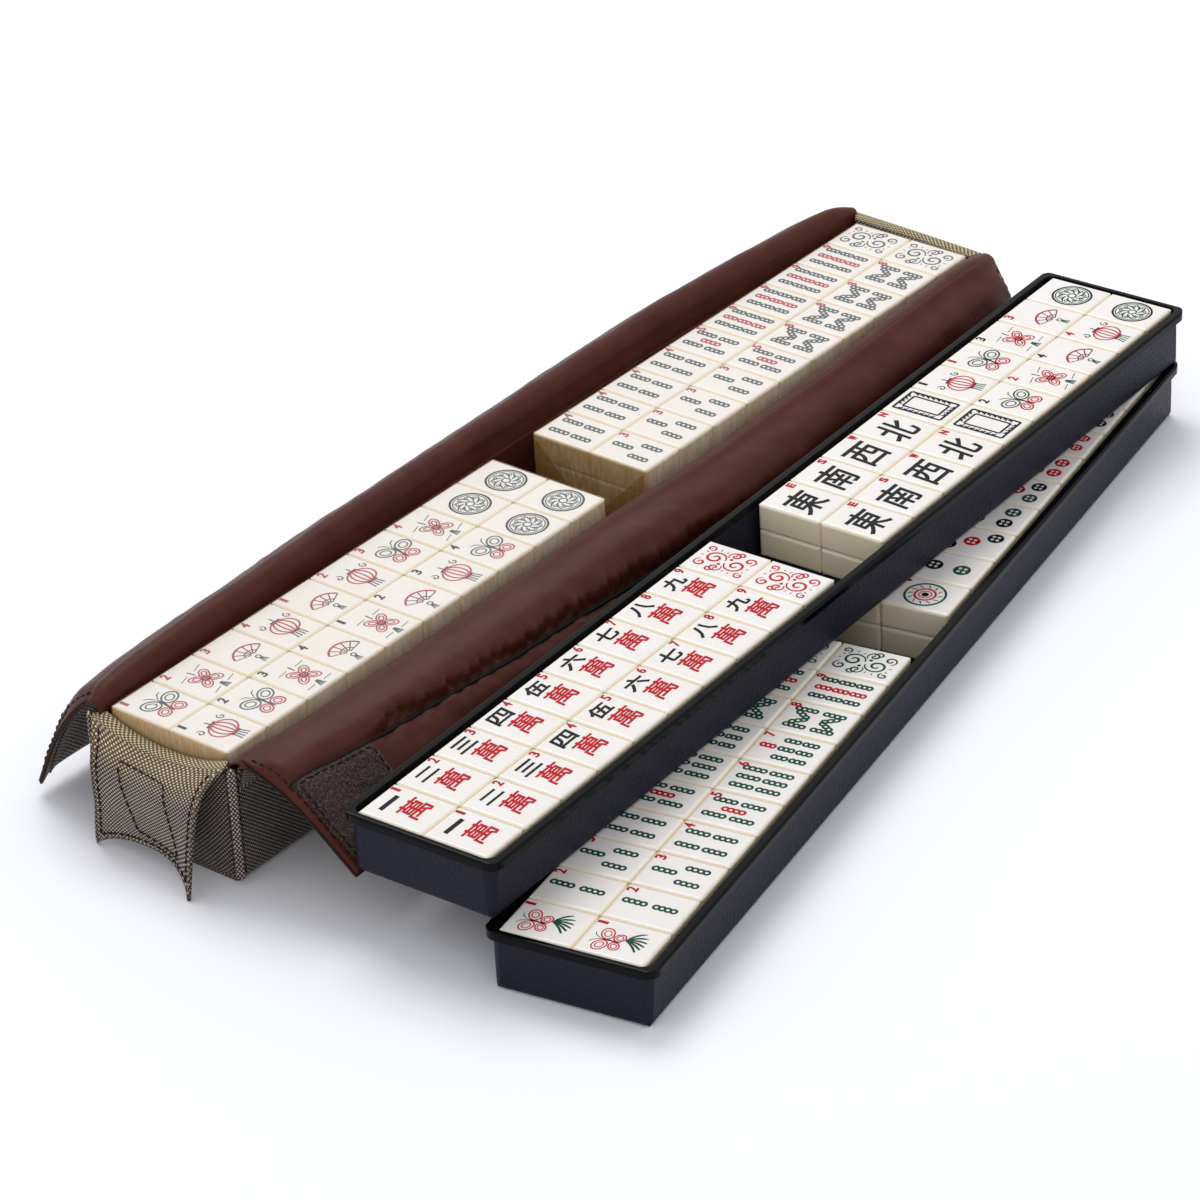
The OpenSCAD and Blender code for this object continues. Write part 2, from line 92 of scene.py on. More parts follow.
def newMaterial(name, settings):
    made = bpy.data.materials.new(name)
    made.use_nodes = True
    tree = made.node_tree
    tree.nodes.clear()
    shader = addNode(tree, "BsdfPrincipled", settings)
    addNode(tree, "OutputMaterial", None, {"Surface": shader})
    return made, tree, shader


def setBump(tree, shader, height, strength, distance):
    bump = addNode(tree, "Bump", {"Strength": strength, "Distance": distance}, {"Height": height})
    tree.links.new(bump.outputs[0], shader.inputs["Normal"])


def ease(t):
    t = max(0.0, min(1.0, t))
    return t * t * (3 - 2 * t)


def mix(a, b, t):
    return a + (b - a) * t


def follow(pairs, x):
    # A smooth curve through (x, y) pairs, level at both ends
    if x <= pairs[0][0]:
        return pairs[0][1]
    if x >= pairs[-1][0]:
        return pairs[-1][1]
    slopes = [0.0]
    for (x0, y0), (x1, y1), (x2, y2) in zip(pairs, pairs[1:], pairs[2:]):
        slopes.append((y2 - y0) / (x2 - x0))
    slopes[0] = (pairs[1][1] - pairs[0][1]) / (pairs[1][0] - pairs[0][0])
    slopes.append((pairs[-1][1] - pairs[-2][1]) / (pairs[-1][0] - pairs[-2][0]))
    for i, ((x0, y0), (x1, y1)) in enumerate(zip(pairs, pairs[1:])):
        if x <= x1:
            w = x1 - x0
            t = (x - x0) / w
            return ((2 * t ** 3 - 3 * t ** 2 + 1) * y0 + (t ** 3 - 2 * t ** 2 + t) * w * slopes[i]
                    + (3 * t ** 2 - 2 * t ** 3) * y1 + (t ** 3 - t ** 2) * w * slopes[i + 1])


def ripple(x, y, size, seed=0.0):
    # Soft noise from about -1 to 1, whose waves are about size metres long
    return noise.noise(Vector((x / size, y / size, seed)))


def addObject(name, data):
    made = bpy.data.objects.new(name, data)
    bpy.context.scene.collection.objects.link(made)
    return made


def newPiece(name, verts, faces, material, smooth=True):
    mesh = bpy.data.meshes.new(name)
    mesh.from_pydata([tuple(v) for v in verts], [], faces)
    mesh.materials.append(material)
    piece = addObject(name, mesh)
    for polygon in mesh.polygons:
        polygon.use_smooth = smooth
    return piece


def clothPiece(name, columns, rows, placeAt, size, material, thick=0.0, outward=1):
    # A sheet on a grid: placeAt(u, v) gives each point, and size is the cloth's real width and length.
    # "thread" tells the weave where it is on the cloth, so the pattern keeps its scale and bends with it.
    verts = [placeAt(i / columns, j / rows) for i in range(columns + 1) for j in range(rows + 1)]
    faces = []
    for i in range(columns):
        for j in range(rows):
            a = i * (rows + 1) + j
            b = a + rows + 1
            faces.append((a, b, b + 1, a + 1) if outward > 0 else (a, a + 1, b + 1, b))
    piece = newPiece(name, verts, faces, material)
    thread = piece.data.attributes.new("thread", "FLOAT_VECTOR", "POINT")
    for i in range(columns + 1):
        for j in range(rows + 1):
            thread.data[i * (rows + 1) + j].vector = (i / columns * size[0], j / rows * size[1], 0)
    if thick:
        body = piece.modifiers.new("thickness", "SOLIDIFY")
        body.thickness = thick
        body.offset = -1
    return piece


def stitchRow(name, points, normals, material, length=2.4 * mm, gap=0.9 * mm, wide=0.5 * mm, closed=False):
    # Short, sunken-ended stitches of thread that follow a line on the cloth
    verts, faces = [], []
    line = list(points) + ([points[0]] if closed else [])
    up = list(normals) + ([normals[0]] if closed else [])
    marks = [0.0]
    for a, b in zip(line, line[1:]):
        marks.append(marks[-1] + (b - a).length)

    def at(d):
        for i in range(len(line) - 1):
            if d <= marks[i + 1] or i == len(line) - 2:
                t = (d - marks[i]) / max(1e-9, marks[i + 1] - marks[i])
                return line[i].lerp(line[i + 1], t), up[i].lerp(up[i + 1], t).normalized()

    rings = [(0.0, 0.15, -0.30), (0.12, 0.8, 0.15), (0.5, 1.0, 0.45), (0.88, 0.8, 0.15), (1.0, 0.15, -0.30)]
    d = gap
    while d + length < marks[-1]:
        start = len(verts)
        for share, size, rise in rings:
            p, n = at(d + share * length)
            q, _ = at(d + share * length + 0.05 * length)
            forward = (q - p).normalized() if (q - p).length > 0 else Vector((1, 0, 0))
            side = forward.cross(n).normalized()
            for k in range(6):
                a = math.tau * k / 6
                verts.append(p + n * wide * rise + (side * math.cos(a) + n * math.sin(a)) * wide / 2 * size)
        for ring in range(len(rings) - 1):
            for k in range(6):
                a = start + ring * 6 + k
                b = start + ring * 6 + (k + 1) % 6
                faces.append((a, b, b + 6, a + 6))
        faces.append(tuple(start + k for k in reversed(range(6))))
        last = start + (len(rings) - 1) * 6
        faces.append(tuple(last + k for k in range(6)))
        d += length + gap
    return newPiece(name, verts, faces, material)


def tubePiece(name, points, radius, material, sides=10):
    # A piping or rolled edge along a line, with rounded ends
    verts, faces = [], []
    count = len(points)
    side = None
    for i, p in enumerate(points):
        forward = (points[min(i + 1, count - 1)] - points[max(i - 1, 0)]).normalized()
        side = (side - forward
                * side.dot(forward)).normalized() if side else forward.orthogonal().normalized()
        other = forward.cross(side)
        r = radius(i / (count - 1)) if callable(radius) else radius
        r *= 0.35 if i in (0, count - 1) else 1.0
        for k in range(sides):
            a = math.tau * k / sides
            verts.append(p + (side * math.cos(a) + other * math.sin(a)) * r)
    for i in range(count - 1):
        for k in range(sides):
            a, b = i * sides + k, i * sides + (k + 1) % sides
            faces.append((a, b, b + sides, a + sides))
    faces.append(tuple(reversed(range(sides))))
    faces.append(tuple((count - 1) * sides + k for k in range(sides)))
    return newPiece(name, verts, faces, material)


def threadByPlace(piece):
    # A tube's weave simply follows where the tube runs
    thread = piece.data.attributes.new("thread", "FLOAT_VECTOR", "POINT")
    for vert in piece.data.vertices:
        thread.data[vert.index].vector = (vert.co.x + vert.co.y, vert.co.z, 0)


def joinPieces(name, pieces):
    target = pieces[0]
    with bpy.context.temp_override(active_object=target, object=target, selected_editable_objects=pieces,
            selected_objects=pieces):
        bpy.ops.object.join()
    target.name = name
    target.data.name = name
    return target


weave = {
    "threadMm": 1.05,        # spacing of the yarns, so a float shows every 2.1 mm
    "floatLong": 0.68,       # half length of a float, in yarn spacings
    "floatWide": 0.46,
    "roughness": 0.72,
    "paintedSheenWarp": "#65543a",    # painted sheen: the warp's colour where it faces up, standing in for light from above
}


def basketWeave(name, light, dark, shade, paintedSheenWeft):
    # Polyester canvas, woven from a pale weft over a dark warp: pale floats in a staggered grid,
    # each one rounded and catching the light, with dark yarn sunk between them. Both yarns are
    # painted golden where they face up, a painted sheen standing in for the light from above.
    made, tree, shader = newMaterial(name, {"Roughness": weave["roughness"], "Sheen Weight": 0.12,
            "Sheen Roughness": 0.4, "Specular IOR Level": 0.35})
    place = addNode(tree, "Attribute", {"attribute_name": "thread"})
    yarns = addNode(tree, "VectorMath", {"operation": "SCALE", "Scale": 1 / (weave["threadMm"] * mm)},
            {0: place.outputs["Vector"]})
    cell = addNode(tree, "VectorMath", {"operation": "FLOOR"}, {0: yarns})
    inCell = addNode(tree, "VectorMath", {"operation": "FRACTION"}, {0: yarns})
    total = addNode(tree, "VectorMath", {"operation": "DOT_PRODUCT", 1: (1, 1, 0)}, {0: cell})
    halved = addNode(tree, "Math", {"operation": "MULTIPLY", 1: 0.5}, {0: total.outputs["Value"]})
    odd = addNode(tree, "Math", {"operation": "FRACT"}, {0: halved})
    isFloat = addNode(tree, "Math", {"operation": "GREATER_THAN", 1: 0.25}, {0: odd})
    centred = addNode(tree, "VectorMath", {"operation": "SUBTRACT", 1: (0.5, 0.5, 0)}, {0: inCell})
    stretched = addNode(tree, "VectorMath", {"operation": "MULTIPLY",
            1: (1 / weave["floatLong"], 1 / weave["floatWide"], 0)}, {0: centred})
    away = addNode(tree, "VectorMath", {"operation": "LENGTH"}, {0: stretched})
    dome = addNode(tree, "MapRange", {"interpolation_type": "SMOOTHSTEP", "From Min": 1.15,
            "From Max": 0.35, "To Min": 0.0, "To Max": 1.0}, {"Value": away.outputs["Value"]})
    floats = addNode(tree, "Math", {"operation": "MULTIPLY"}, {0: dome, 1: isFloat})
    jitter = addNode(tree, "TexWhiteNoise", {"noise_dimensions": "2D"}, {"Vector": cell})
    worn = addNode(tree, "TexNoise", {"Scale": 40.0, "Detail": 3.0}, {"Vector": place.outputs["Vector"]})
    tone = addNode(tree, "Math", {"operation": "MULTIPLY_ADD", 1: 0.25, 2: 0.8},
            {0: jitter.outputs["Value"]})
    amount = addNode(tree, "Math", {"operation": "MULTIPLY"}, {0: floats, 1: tone})
    facing = addNode(tree, "SeparateXYZ", None, {0: addNode(tree, "TexCoord").outputs["Normal"]})
    # Painted sheen: the more a face turns up, the more golden its yarns are painted
    paintedSheenMask = addNode(tree, "MapRange", {"From Min": 0.25, "From Max": 0.8, "To Min": 0.0, "To Max": 1.0},
            {"Value": facing.outputs["Z"]})
    weft = addNode(tree, "Mix", {"data_type": "RGBA", 6: colour(light), 7: colour(paintedSheenWeft)}, {0: paintedSheenMask})
    warp = addNode(tree, "Mix", {"data_type": "RGBA", 6: colour(dark), 7: colour(weave["paintedSheenWarp"])},
            {0: paintedSheenMask})
    cloth = addNode(tree, "Mix", {"data_type": "RGBA"}, {0: amount, 6: warp.outputs[2], 7: weft.outputs[2]})
    aged = addNode(tree, "Mix", {"data_type": "RGBA", "blend_type": "MULTIPLY", 0: 0.35, 6: colour(light),
            7: colour(shade)}, {6: cloth.outputs[2]})
    fade = addNode(tree, "MapRange", {"From Min": 0.35, "From Max": 0.7, "To Min": 0.0, "To Max": 0.3},
            {"Value": worn})
    tree.links.new(fade.outputs[0], aged.inputs[0])
    tree.links.new(aged.outputs[2], shader.inputs["Base Color"])
    setBump(tree, shader, floats, 0.8, 0.35 * mm)
    return made


satin = {
    "lit": "#582b1f",
    "deep": "#34120a",
    "grainMm": 0.7,         # the yarns are finer, and are drawn as coarse as they need to show
    "roughness": 0.42,
}


def satinLining():
    # Polyester satin, warp-faced and padded behind: a soft broad sheen on its folds over a fine,
    # even grain of yarns
    made, tree, shader = newMaterial("polyesterSatin", {"Roughness": satin["roughness"], "Sheen Weight": 0.05,
            "Sheen Roughness": 0.3, "Sheen Tint": colour("#b06a55"), "Specular IOR Level": 0.12})
    place = addNode(tree, "Attribute", {"attribute_name": "thread"})
    clouds = addNode(tree, "TexNoise", {"Scale": 55.0, "Detail": 4.0, "Roughness": 0.6},
            {"Vector": place.outputs["Vector"]})
    tint = addNode(tree, "Mix", {"data_type": "RGBA", 6: colour(satin["deep"]), 7: colour(satin["lit"])},
            {0: clouds})
    tree.links.new(tint.outputs[2], shader.inputs["Base Color"])
    grain = addNode(tree, "TexNoise", {"Scale": 1 / (satin["grainMm"] * mm), "Detail": 2.0},
            {"Vector": place.outputs["Vector"]})
    setBump(tree, shader, grain, 0.6, 0.2 * mm)
    return made


loopTape = {
    "loopMm": 0.9,
    # dark is painted shade in the pile's depth, lit a painted highlight on its tops
    "dark": "#1b0e0c",
    "lit": "#6b4d44",
}


def loopPile():
    # Nylon loop tape, knitted with a raised pile: tangled brown loops, with painted shade in their
    # depth and painted highlights where single loops stand up into the light
    made, tree, shader = newMaterial("nylonLoopTape", {"Roughness": 0.9, "Sheen Weight": 0.1,
            "Sheen Roughness": 0.6, "Specular IOR Level": 0.2})
    place = addNode(tree, "Attribute", {"attribute_name": "thread"})
    tangle = addNode(tree, "TexNoise", {"Scale": 1 / (loopTape["loopMm"] * mm), "Detail": 4.0,
            "Roughness": 0.7, "Distortion": 0.6}, {"Vector": place.outputs["Vector"]})
    # Painted shade and highlight: the pile's low places are painted dark and its high places pale
    loops = addNode(tree, "MapRange", {"From Min": 0.47, "From Max": 0.64, "To Min": 0.0, "To Max": 1.0},
            {"Value": tangle})
    tint = addNode(tree, "Mix", {"data_type": "RGBA", 6: colour(loopTape["dark"]),
            7: colour(loopTape["lit"])}, {0: loops})
    tree.links.new(tint.outputs[2], shader.inputs["Base Color"])
    setBump(tree, shader, tangle, 1.0, 0.7 * mm)
    return made


trayPlastic = {
    # the walls' colour is the black plastic with a painted reflection of the bright room laid in
    "colour": "#1f202d",
    "lipColour": "#050609",
    "grainMm": 0.95,
    "wallRoughness": 0.36,
    "lipRoughness": 0.14,
    "lipMm": 3.9,            # height of the polished lip
}


def mouldedAbs(name, top):
    # ABS, vacuum formed against a leather-grained mould: blue-black walls with a fine pebble grain,
    # whose blue-grey is partly a painted reflection, and a smooth, glossy lip where the mould was polished.
    # top is the height of the lip's edge.
    made, tree, shader = newMaterial(name, {"IOR": 1.53, "Specular IOR Level": 0.08})
    place = addNode(tree, "TexCoord")
    height = addNode(tree, "SeparateXYZ", None, {0: place.outputs["Object"]})
    onLip = addNode(tree, "MapRange", {"From Min": top - trayPlastic["lipMm"] * mm,
            "From Max": top - (trayPlastic["lipMm"] - 0.3) * mm, "To Min": 0.0, "To Max": 1.0},
            {"Value": height.outputs["Z"]})
    pebbles = addNode(tree, "TexVoronoi", {"feature": "SMOOTH_F1",
            "Scale": 1 / (trayPlastic["grainMm"] * mm), "Smoothness": 0.6},
            {"Vector": place.outputs["Object"]})
    swell = addNode(tree, "TexNoise", {"Scale": 900.0, "Detail": 3.0}, {"Vector": place.outputs["Object"]})
    grain = addNode(tree, "Math", {"operation": "ADD"}, {0: pebbles.outputs["Distance"], 1: swell})
    flat = addNode(tree, "MapRange", {"From Min": 0.0, "From Max": 1.0, "To Min": 1.0, "To Max": 0.0},
            {"Value": onLip})
    relief = addNode(tree, "Math", {"operation": "MULTIPLY"}, {0: grain, 1: flat})
    # Painted reflection: the walls below the lip are painted a lighter blue-grey than the lip's plain black
    tint = addNode(tree, "Mix", {"data_type": "RGBA", 6: colour(trayPlastic["colour"]),
            7: colour(trayPlastic["lipColour"])}, {0: onLip})
    gloss = addNode(tree, "MapRange", {"From Min": 0.0, "From Max": 1.0,
            "To Min": trayPlastic["wallRoughness"], "To Max": trayPlastic["lipRoughness"]},
            {"Value": onLip})
    tree.links.new(tint.outputs[2], shader.inputs["Base Color"])
    tree.links.new(gloss.outputs[0], shader.inputs["Roughness"])
    setBump(tree, shader, relief, 0.9, 0.3 * mm)
    return made


tileResin = {
    "face": "#f2eeea",
    # edge is painted light: the warmer tone of light run through the resin's edges
    "edge": "#f7ecd0",
    "roughness": 0.22,
}


def meltedResin():
    # Melamine resin, pressed, tumbled and polished: glossy cream faces that glow a little, and
    # painted warmer on the rounded edges and sides, standing in for light that runs through them
    made, tree, shader = newMaterial("melamineResin", {"Roughness": tileResin["roughness"], "IOR": 1.55,
            "Subsurface Weight": 0.18, "Subsurface Scale": 2.5 * mm,
            "Subsurface Radius": (1.0, 0.75, 0.4)})
    place = addNode(tree, "TexCoord")
    facing = addNode(tree, "SeparateXYZ", None, {0: place.outputs["Normal"]})
    # Painted light: faces that turn away from the top are painted the warmer edge colour
    side = addNode(tree, "MapRange", {"From Min": 0.98, "From Max": 0.55, "To Min": 0.0, "To Max": 1.0},
            {"Value": facing.outputs["Z"]})
    streaks = addNode(tree, "TexNoise", {"Scale": 70.0, "Detail": 2.0}, {"Vector": place.outputs["Object"]})
    tint = addNode(tree, "Mix", {"data_type": "RGBA", 6: colour(tileResin["face"]),
            7: colour(tileResin["edge"])}, {0: side})
    warm = addNode(tree, "Mix", {"data_type": "RGBA", "blend_type": "MULTIPLY", 7: colour("#faf6ec")},
            {0: streaks, 6: tint.outputs[2]})
    tree.links.new(warm.outputs[2], shader.inputs["Base Color"])
    return made


def enamelInk(name, code):
    # Enamel, run into cut marks and wiped level: flat, strong colour with a slight gloss
    made, tree, shader = newMaterial(name, {"Roughness": 0.35, "IOR": 1.5, "Specular IOR Level": 0.12})
    place = addNode(tree, "TexCoord")
    uneven = addNode(tree, "TexNoise", {"Scale": 1500.0, "Detail": 2.0},
            {"Vector": place.outputs["Object"]})
    tint = addNode(tree, "Mix", {"data_type": "RGBA", "blend_type": "MULTIPLY", 6: colour(code),
            7: colour("#c8c8c8")}, {0: uneven})
    tree.links.new(tint.outputs[2], shader.inputs["Base Color"])
    return made


film = {
    "tint": "#f6e8cc",
    # The sides' amber and the ends' heavy cover are partly the doubled film and partly painted shade
    "doubledFilmAndShadeTint": "#b08443",
    "cover": (0.12, 0.52, 0.09),     # on the long sides, the ends and the top
}


def shrinkFilm():
    # Polyolefin shrink film, shrunk on with hot air: nearly clear over the faces, amber where it
    # doubles up over the sides, deepened there with painted shade, and with sharp glints along its small
    # creases
    made, tree, shader = newMaterial("polyolefinFilm", {"Roughness": 0.12, "IOR": 1.5})
    place = addNode(tree, "TexCoord")
    turned = addNode(tree, "VectorMath", {"operation": "ABSOLUTE"}, {0: place.outputs["Normal"]})
    facing = addNode(tree, "SeparateXYZ", None, {0: turned})
    side = addNode(tree, "MapRange", {"From Min": 0.9, "From Max": 0.4, "To Min": 0.0, "To Max": 1.0},
            {"Value": facing.outputs["Z"]})
    pulled = addNode(tree, "Mapping", {"Scale": (300.0, 300.0, 60.0)}, {"Vector": place.outputs["Object"]})
    creases = addNode(tree, "TexNoise", {"Scale": 1.0, "Detail": 5.0, "Distortion": 1.6},
            {"Vector": pulled})
    cover = addNode(tree, "VectorMath", {"operation": "DOT_PRODUCT", 1: film["cover"]}, {0: turned})
    streaks = addNode(tree, "MapRange", {"From Min": 0.35, "From Max": 0.65, "To Min": -0.09,
            "To Max": 0.09}, {"Value": creases})
    uneven = addNode(tree, "Math", {"operation": "MULTIPLY"}, {0: streaks, 1: side})
    alpha = addNode(tree, "Math", {"operation": "ADD", "use_clamp": True},
            {0: cover.outputs["Value"], 1: uneven})
    # Partly painted shade: sides and ends take a deeper amber than the doubled film alone would give
    tint = addNode(tree, "Mix", {"data_type": "RGBA", 6: colour(film["tint"]), 7: colour(film["doubledFilmAndShadeTint"])},
            {0: side})
    tree.links.new(tint.outputs[2], shader.inputs["Base Color"])
    tree.links.new(alpha.outputs[0], shader.inputs["Alpha"])
    setBump(tree, shader, creases, 0.3, 0.4 * mm)
    return made


def sewingThread(name, code):
    # Polyester sewing thread, twisted: a slight sheen over a fine slanted twist
    made, tree, shader = newMaterial(name, {"Roughness": 0.7, "Specular IOR Level": 0.2})
    place = addNode(tree, "TexCoord")
    twist = addNode(tree, "TexWave", {"bands_direction": "DIAGONAL", "Scale": 900.0},
            {"Vector": place.outputs["Object"]})
    tint = addNode(tree, "Mix", {"data_type": "RGBA", "blend_type": "MULTIPLY", 6: colour(code),
            7: colour("#a89a90")}, {0: twist})
    tree.links.new(tint.outputs[2], shader.inputs["Base Color"])
    return made


def pulpBoard(name, code, scaleMm):
    # Grey board, pressed from pulp, and polyether foam: mottled and matt, hidden by the cloth
    made, tree, shader = newMaterial(name, {"Roughness": 0.85})
    place = addNode(tree, "TexCoord")
    mottle = addNode(tree, "TexNoise", {"Scale": 1 / (scaleMm * mm), "Detail": 4.0},
            {"Vector": place.outputs["Object"]})
    tint = addNode(tree, "Mix", {"data_type": "RGBA", "blend_type": "MULTIPLY", 6: colour(code),
            7: colour("#8c857c")}, {0: mottle})
    tree.links.new(tint.outputs[2], shader.inputs["Base Color"])
    return made


canvasLight = basketWeave("polyesterCanvas", "#dccabd", "#2c211b", "#c8bab0", "#fff0c2")
hookTape = basketWeave("nylonHookTape", "#cdbcae", "#241a14", "#b8aaa0", "#e2d2ac")
canvasDark = basketWeave("polyesterCanvasOutside", "#b09f8c", "#1c120c", "#80766a", "#f0d6a4")
lining = satinLining()
pile = loopPile()
bindingCloth = sewingThread("polyesterSatinEdge", "#28140e")
brownThread = sewingThread("polyesterThread", "#23160d")
blackThread = sewingThread("polyesterThreadDark", "#120b08")
resin = meltedResin()
filmSkin = shrinkFilm()
greyBoard = pulpBoard("greyBoard", "#b9ada0", 1.5)
foamPad = pulpBoard("polyetherFoam", "#77706a", 0.8)
inks = {
    "red": enamelInk("enamelRed", "#cf0519"),
    "black": enamelInk("enamelBlack", "#060709"),
    "green": enamelInk("enamelGreen", "#0f4f38"),
    "cream": enamelInk("enamelCream", "#f3eee2"),
    "fadedRed": enamelInk("enamelRedUnderFilm", "#c9505f"),
    "fadedBlack": enamelInk("enamelBlackUnderFilm", "#3d4448"),
    "fadedGreen": enamelInk("enamelGreenUnderFilm", "#53666a"),
}

bySlot = {"board": greyBoard, "foam": foamPad, "satin": lining, "loop": pile, "film": filmSkin,
        "tile": resin, "weave_dark": canvasDark, "weave_beige": canvasLight}
for part in frame["record"]["subparts"]:
    node = frame["nodes"][part["node"]]
    node.data.materials.clear()
    if part["material_slot"] == "tray":
        node.data.materials.append(mouldedAbs(part["node"] + "Abs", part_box(part["node"])[1].z))
    else:
        node.data.materials.append(bySlot[part["material_slot"]])
print("materials: done")


# The walls are soft: they bow outward between the case's ends, so the padded crest on top of each one
# has a centre and radius of its own along the case. Values in mm: y, distance from the middle, height
# and radius.
crest = {
    "left": [(-247.5, 35.2, 52.2, 3.8), (-237, 36.9, 55.0, 5.4), (-190, 38.8, 56.7, 6.0),
             (-144, 40.1, 57.2, 6.0), (-96, 41.7, 57.8, 6.0), (-46, 42.5, 57.9, 6.0), (32, 43.4, 58.2, 6.0),
             (100, 44.0, 58.5, 6.0), (142, 42.9, 58.3, 6.0), (200, 40.1, 57.5, 5.8), (232, 38.0, 57.0, 5.2),
             (241, 36.6, 57.0, 3.6), (247.5, 35.2, 55.6, 2.6)],
    "right": [(-247.5, 40.3, 47.6, 7.4), (-235, 40.2, 48.0, 8.0), (-215, 41.3, 47.0, 8.0),
              (-150, 42.5, 46.3, 8.0), (-87, 42.4, 46.3, 8.0), (-17, 42.6, 46.3, 8.0), (40, 44.0, 45.8, 8.0),
              (77, 42.8, 46.3, 8.0), (114, 42.3, 46.8, 8.0), (153, 41.2, 47.9, 8.0), (193, 39.8, 49.2, 8.0),
              (230, 38.4, 50.6, 7.4), (240, 37.9, 50.6, 6.4), (247.5, 37.4, 49.8, 5.4)],
    "foot": {"left": 50.0, "right": 41.0},     # height at which the padding ends and the plain wall begins
}

flap = {
    "length": 62 * mm,
    "halfLong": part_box("right_flap_lining")[1].y,
    "thick": 2.0 * mm,
    "padding": 4.0 * mm,
    "pucker": 1.0 * mm,
    "binding": 0.7 * mm,
    # radius of the black cord laid along the sewn line as its painted shadow
    "shadowCord": 1.25 * mm,
    "seamAt": {          # y, distance from the crest
        "left": [(-246, 22.0), (246, 22.0)],
        "right": [(-246, 19.5), (-196, 20.5), (-150, 22.5), (-120, 24.5), (-83, 25.0), (-35, 26.5),
                  (12, 25.5), (246, 24.0)],
    },
}

# A flap hangs twisted and is pressed flat as it folds over the tiles: the plane that it goes to, in
# degrees and metres, and how much of its height is kept
closing = {
    "turn": {"left": 48, "right": 34},
    "lift": {"left": 0.6 * mm, "right": 2.9 * mm},
    "keep": 0.06,
    "crestKeep": 0.08,
}

# How steeply each flap hangs, in degrees: y, then the slope at five distances from the crest, and
# the length that shows past the crest
hangAt = [0, 12, 25, 42, 62]
hang = {
    "left": [(-246, 39, 46, 54, 63, 65, 61), (-190, 44, 52, 60, 67, 69, 60), (180, 46, 56, 64, 69, 70, 60),
             (246, 46, 56, 62, 64, 62, 56)],
    "right": [(-246, 12, 20, 29, 37, 38, 61), (-190, 12, 22, 36, 50, 56, 62), (-120, 12, 22, 42, 62, 70, 62),
              (0, 18, 34, 54, 74, 80, 62), (118, 30, 52, 68, 80, 84, 58), (200, 38, 58, 72, 82, 84, 58),
              (246, 56, 66, 70, 70, 64, 57)],
}


def crestAt(word, y):
    # Centre and radius of the padded crest at y
    table = crest[word]
    x, z, radius = (follow([(row[0], row[k]) for row in table], y / mm) * mm for k in (1, 2, 3))
    return x, z + 0.3 * mm * ripple(y, 0, 45 * mm, 3 + len(word)), radius


profiles = {}


def hangingProfile(word, y):
    # The flap's cross-section: x, z and slope at every half millimetre from the crest
    key = (word, round(y / mm * 8))
    if key not in profiles:
        *slopes, long = [follow([(row[0], row[k]) for row in hang[word]], y / mm) for k in range(1, 7)]
        pairs = list(zip(hangAt, slopes))
        step = 0.5 * mm * long * mm / flap["length"]
        x0, z0, radius = crestAt(word, y)
        turn = math.radians(slopes[0])
        x, z = x0 + radius * math.sin(turn), z0 + radius * math.cos(turn)
        points = [(x, z, turn)]
        for i in range(1, 125):
            turn = math.radians(follow(pairs, i / 2))
            x, z = x + step * math.cos(turn), z - step * math.sin(turn)
            points.append((x, z, turn))
        profiles[key] = points
    return profiles[key]


def alongProfile(word, y, s):
    if s < 0:
        # Back over the crest
        x0, z0, radius = crestAt(word, y)
        turn = hangingProfile(word, y)[0][2] + s / radius
        return x0 + radius * math.sin(turn), z0 + radius * math.cos(turn), turn
    points = hangingProfile(word, y)
    spot = min(s / (0.5 * mm), len(points) - 1.001)
    i = int(spot)
    return tuple(mix(points[i][k], points[i + 1][k], spot - i) for k in range(3))


def seamLine(word, y):
    return follow(flap["seamAt"][word], y / mm) * mm


def liningRise(word, y, s):
    # The padding is full from the crest to the sewn line, and drops steeply there between small gathers
    seam = seamLine(word, y)
    held = ease((flap["halfLong"] - 40 * mm - abs(y)) / (16 * mm))
    gather = 2.4 * abs(ripple(y, s * 0.2, 7.5 * mm, 7 + len(word))) - 0.5
    held *= mix(1.0, 0.5, ease((y + 20 * mm) / (80 * mm)))
    near = math.exp(-abs(s - seam) / ((5 if s < seam else 4) * mm)) * held * ease(abs(s - seam) / (2.4 * mm))
    brink = seam - (0.9 + 3.4 * min(1.0, 2.4 * abs(ripple(y, 0, 6.5 * mm, 9)))) * mm * held
    edge = ease((flap["halfLong"] - abs(y)) / (5 * mm)) * ease((flap["length"] - s) / (4 * mm))
    if s < seam:
        full = ease(s / (13 * mm))
        drop = min(1.0, s / brink) ** 14
        pad = flap["padding"] * full * (1 - drop * (0.55 + 0.45 * held)) - 0.7 * mm * drop * held
    else:
        out = (s - seam) / mm
        pad = (-0.5 * math.exp(-out / 1.3) * held + 1.2 * ease(out / 6)
                * (1 - 0.5 * ease((out - 12) / 20))) * mm
        pad += flap["padding"] * 0.45 * (1 - held) * math.exp(-out / 6)
    calm = 0.5 if word == "left" else 1.0
    pad *= calm
    folds = 1.5 * mm * ripple(y * 0.75 + s * 0.9, s * 1.1 - y * 0.2, 34 * mm,
            11 + len(word)) * ease(s / (14 * mm))
    folds *= calm
    small = 0.5 * calm * mm * ripple(y - s * 0.6, s * 1.4, 13 * mm, 13) * ease(s / (8 * mm))
    return max(-0.7 * mm, pad + flap["pucker"] * near * 2.2 * gather + folds + small) * edge


def sideOf(word):
    return -1 if word == "left" else 1


def flapPoint(word, y, s, off=0.0, rise=True):
    # Point on a flap: s runs from the crest to the free edge, off is its height over the lining
    x, z, turn = alongProfile(word, y, s)
    out = off + (liningRise(word, y, s) if rise and s > 0 else 0)
    return Vector((sideOf(word) * (x + out * math.sin(turn)), y, z + out * math.cos(turn)))


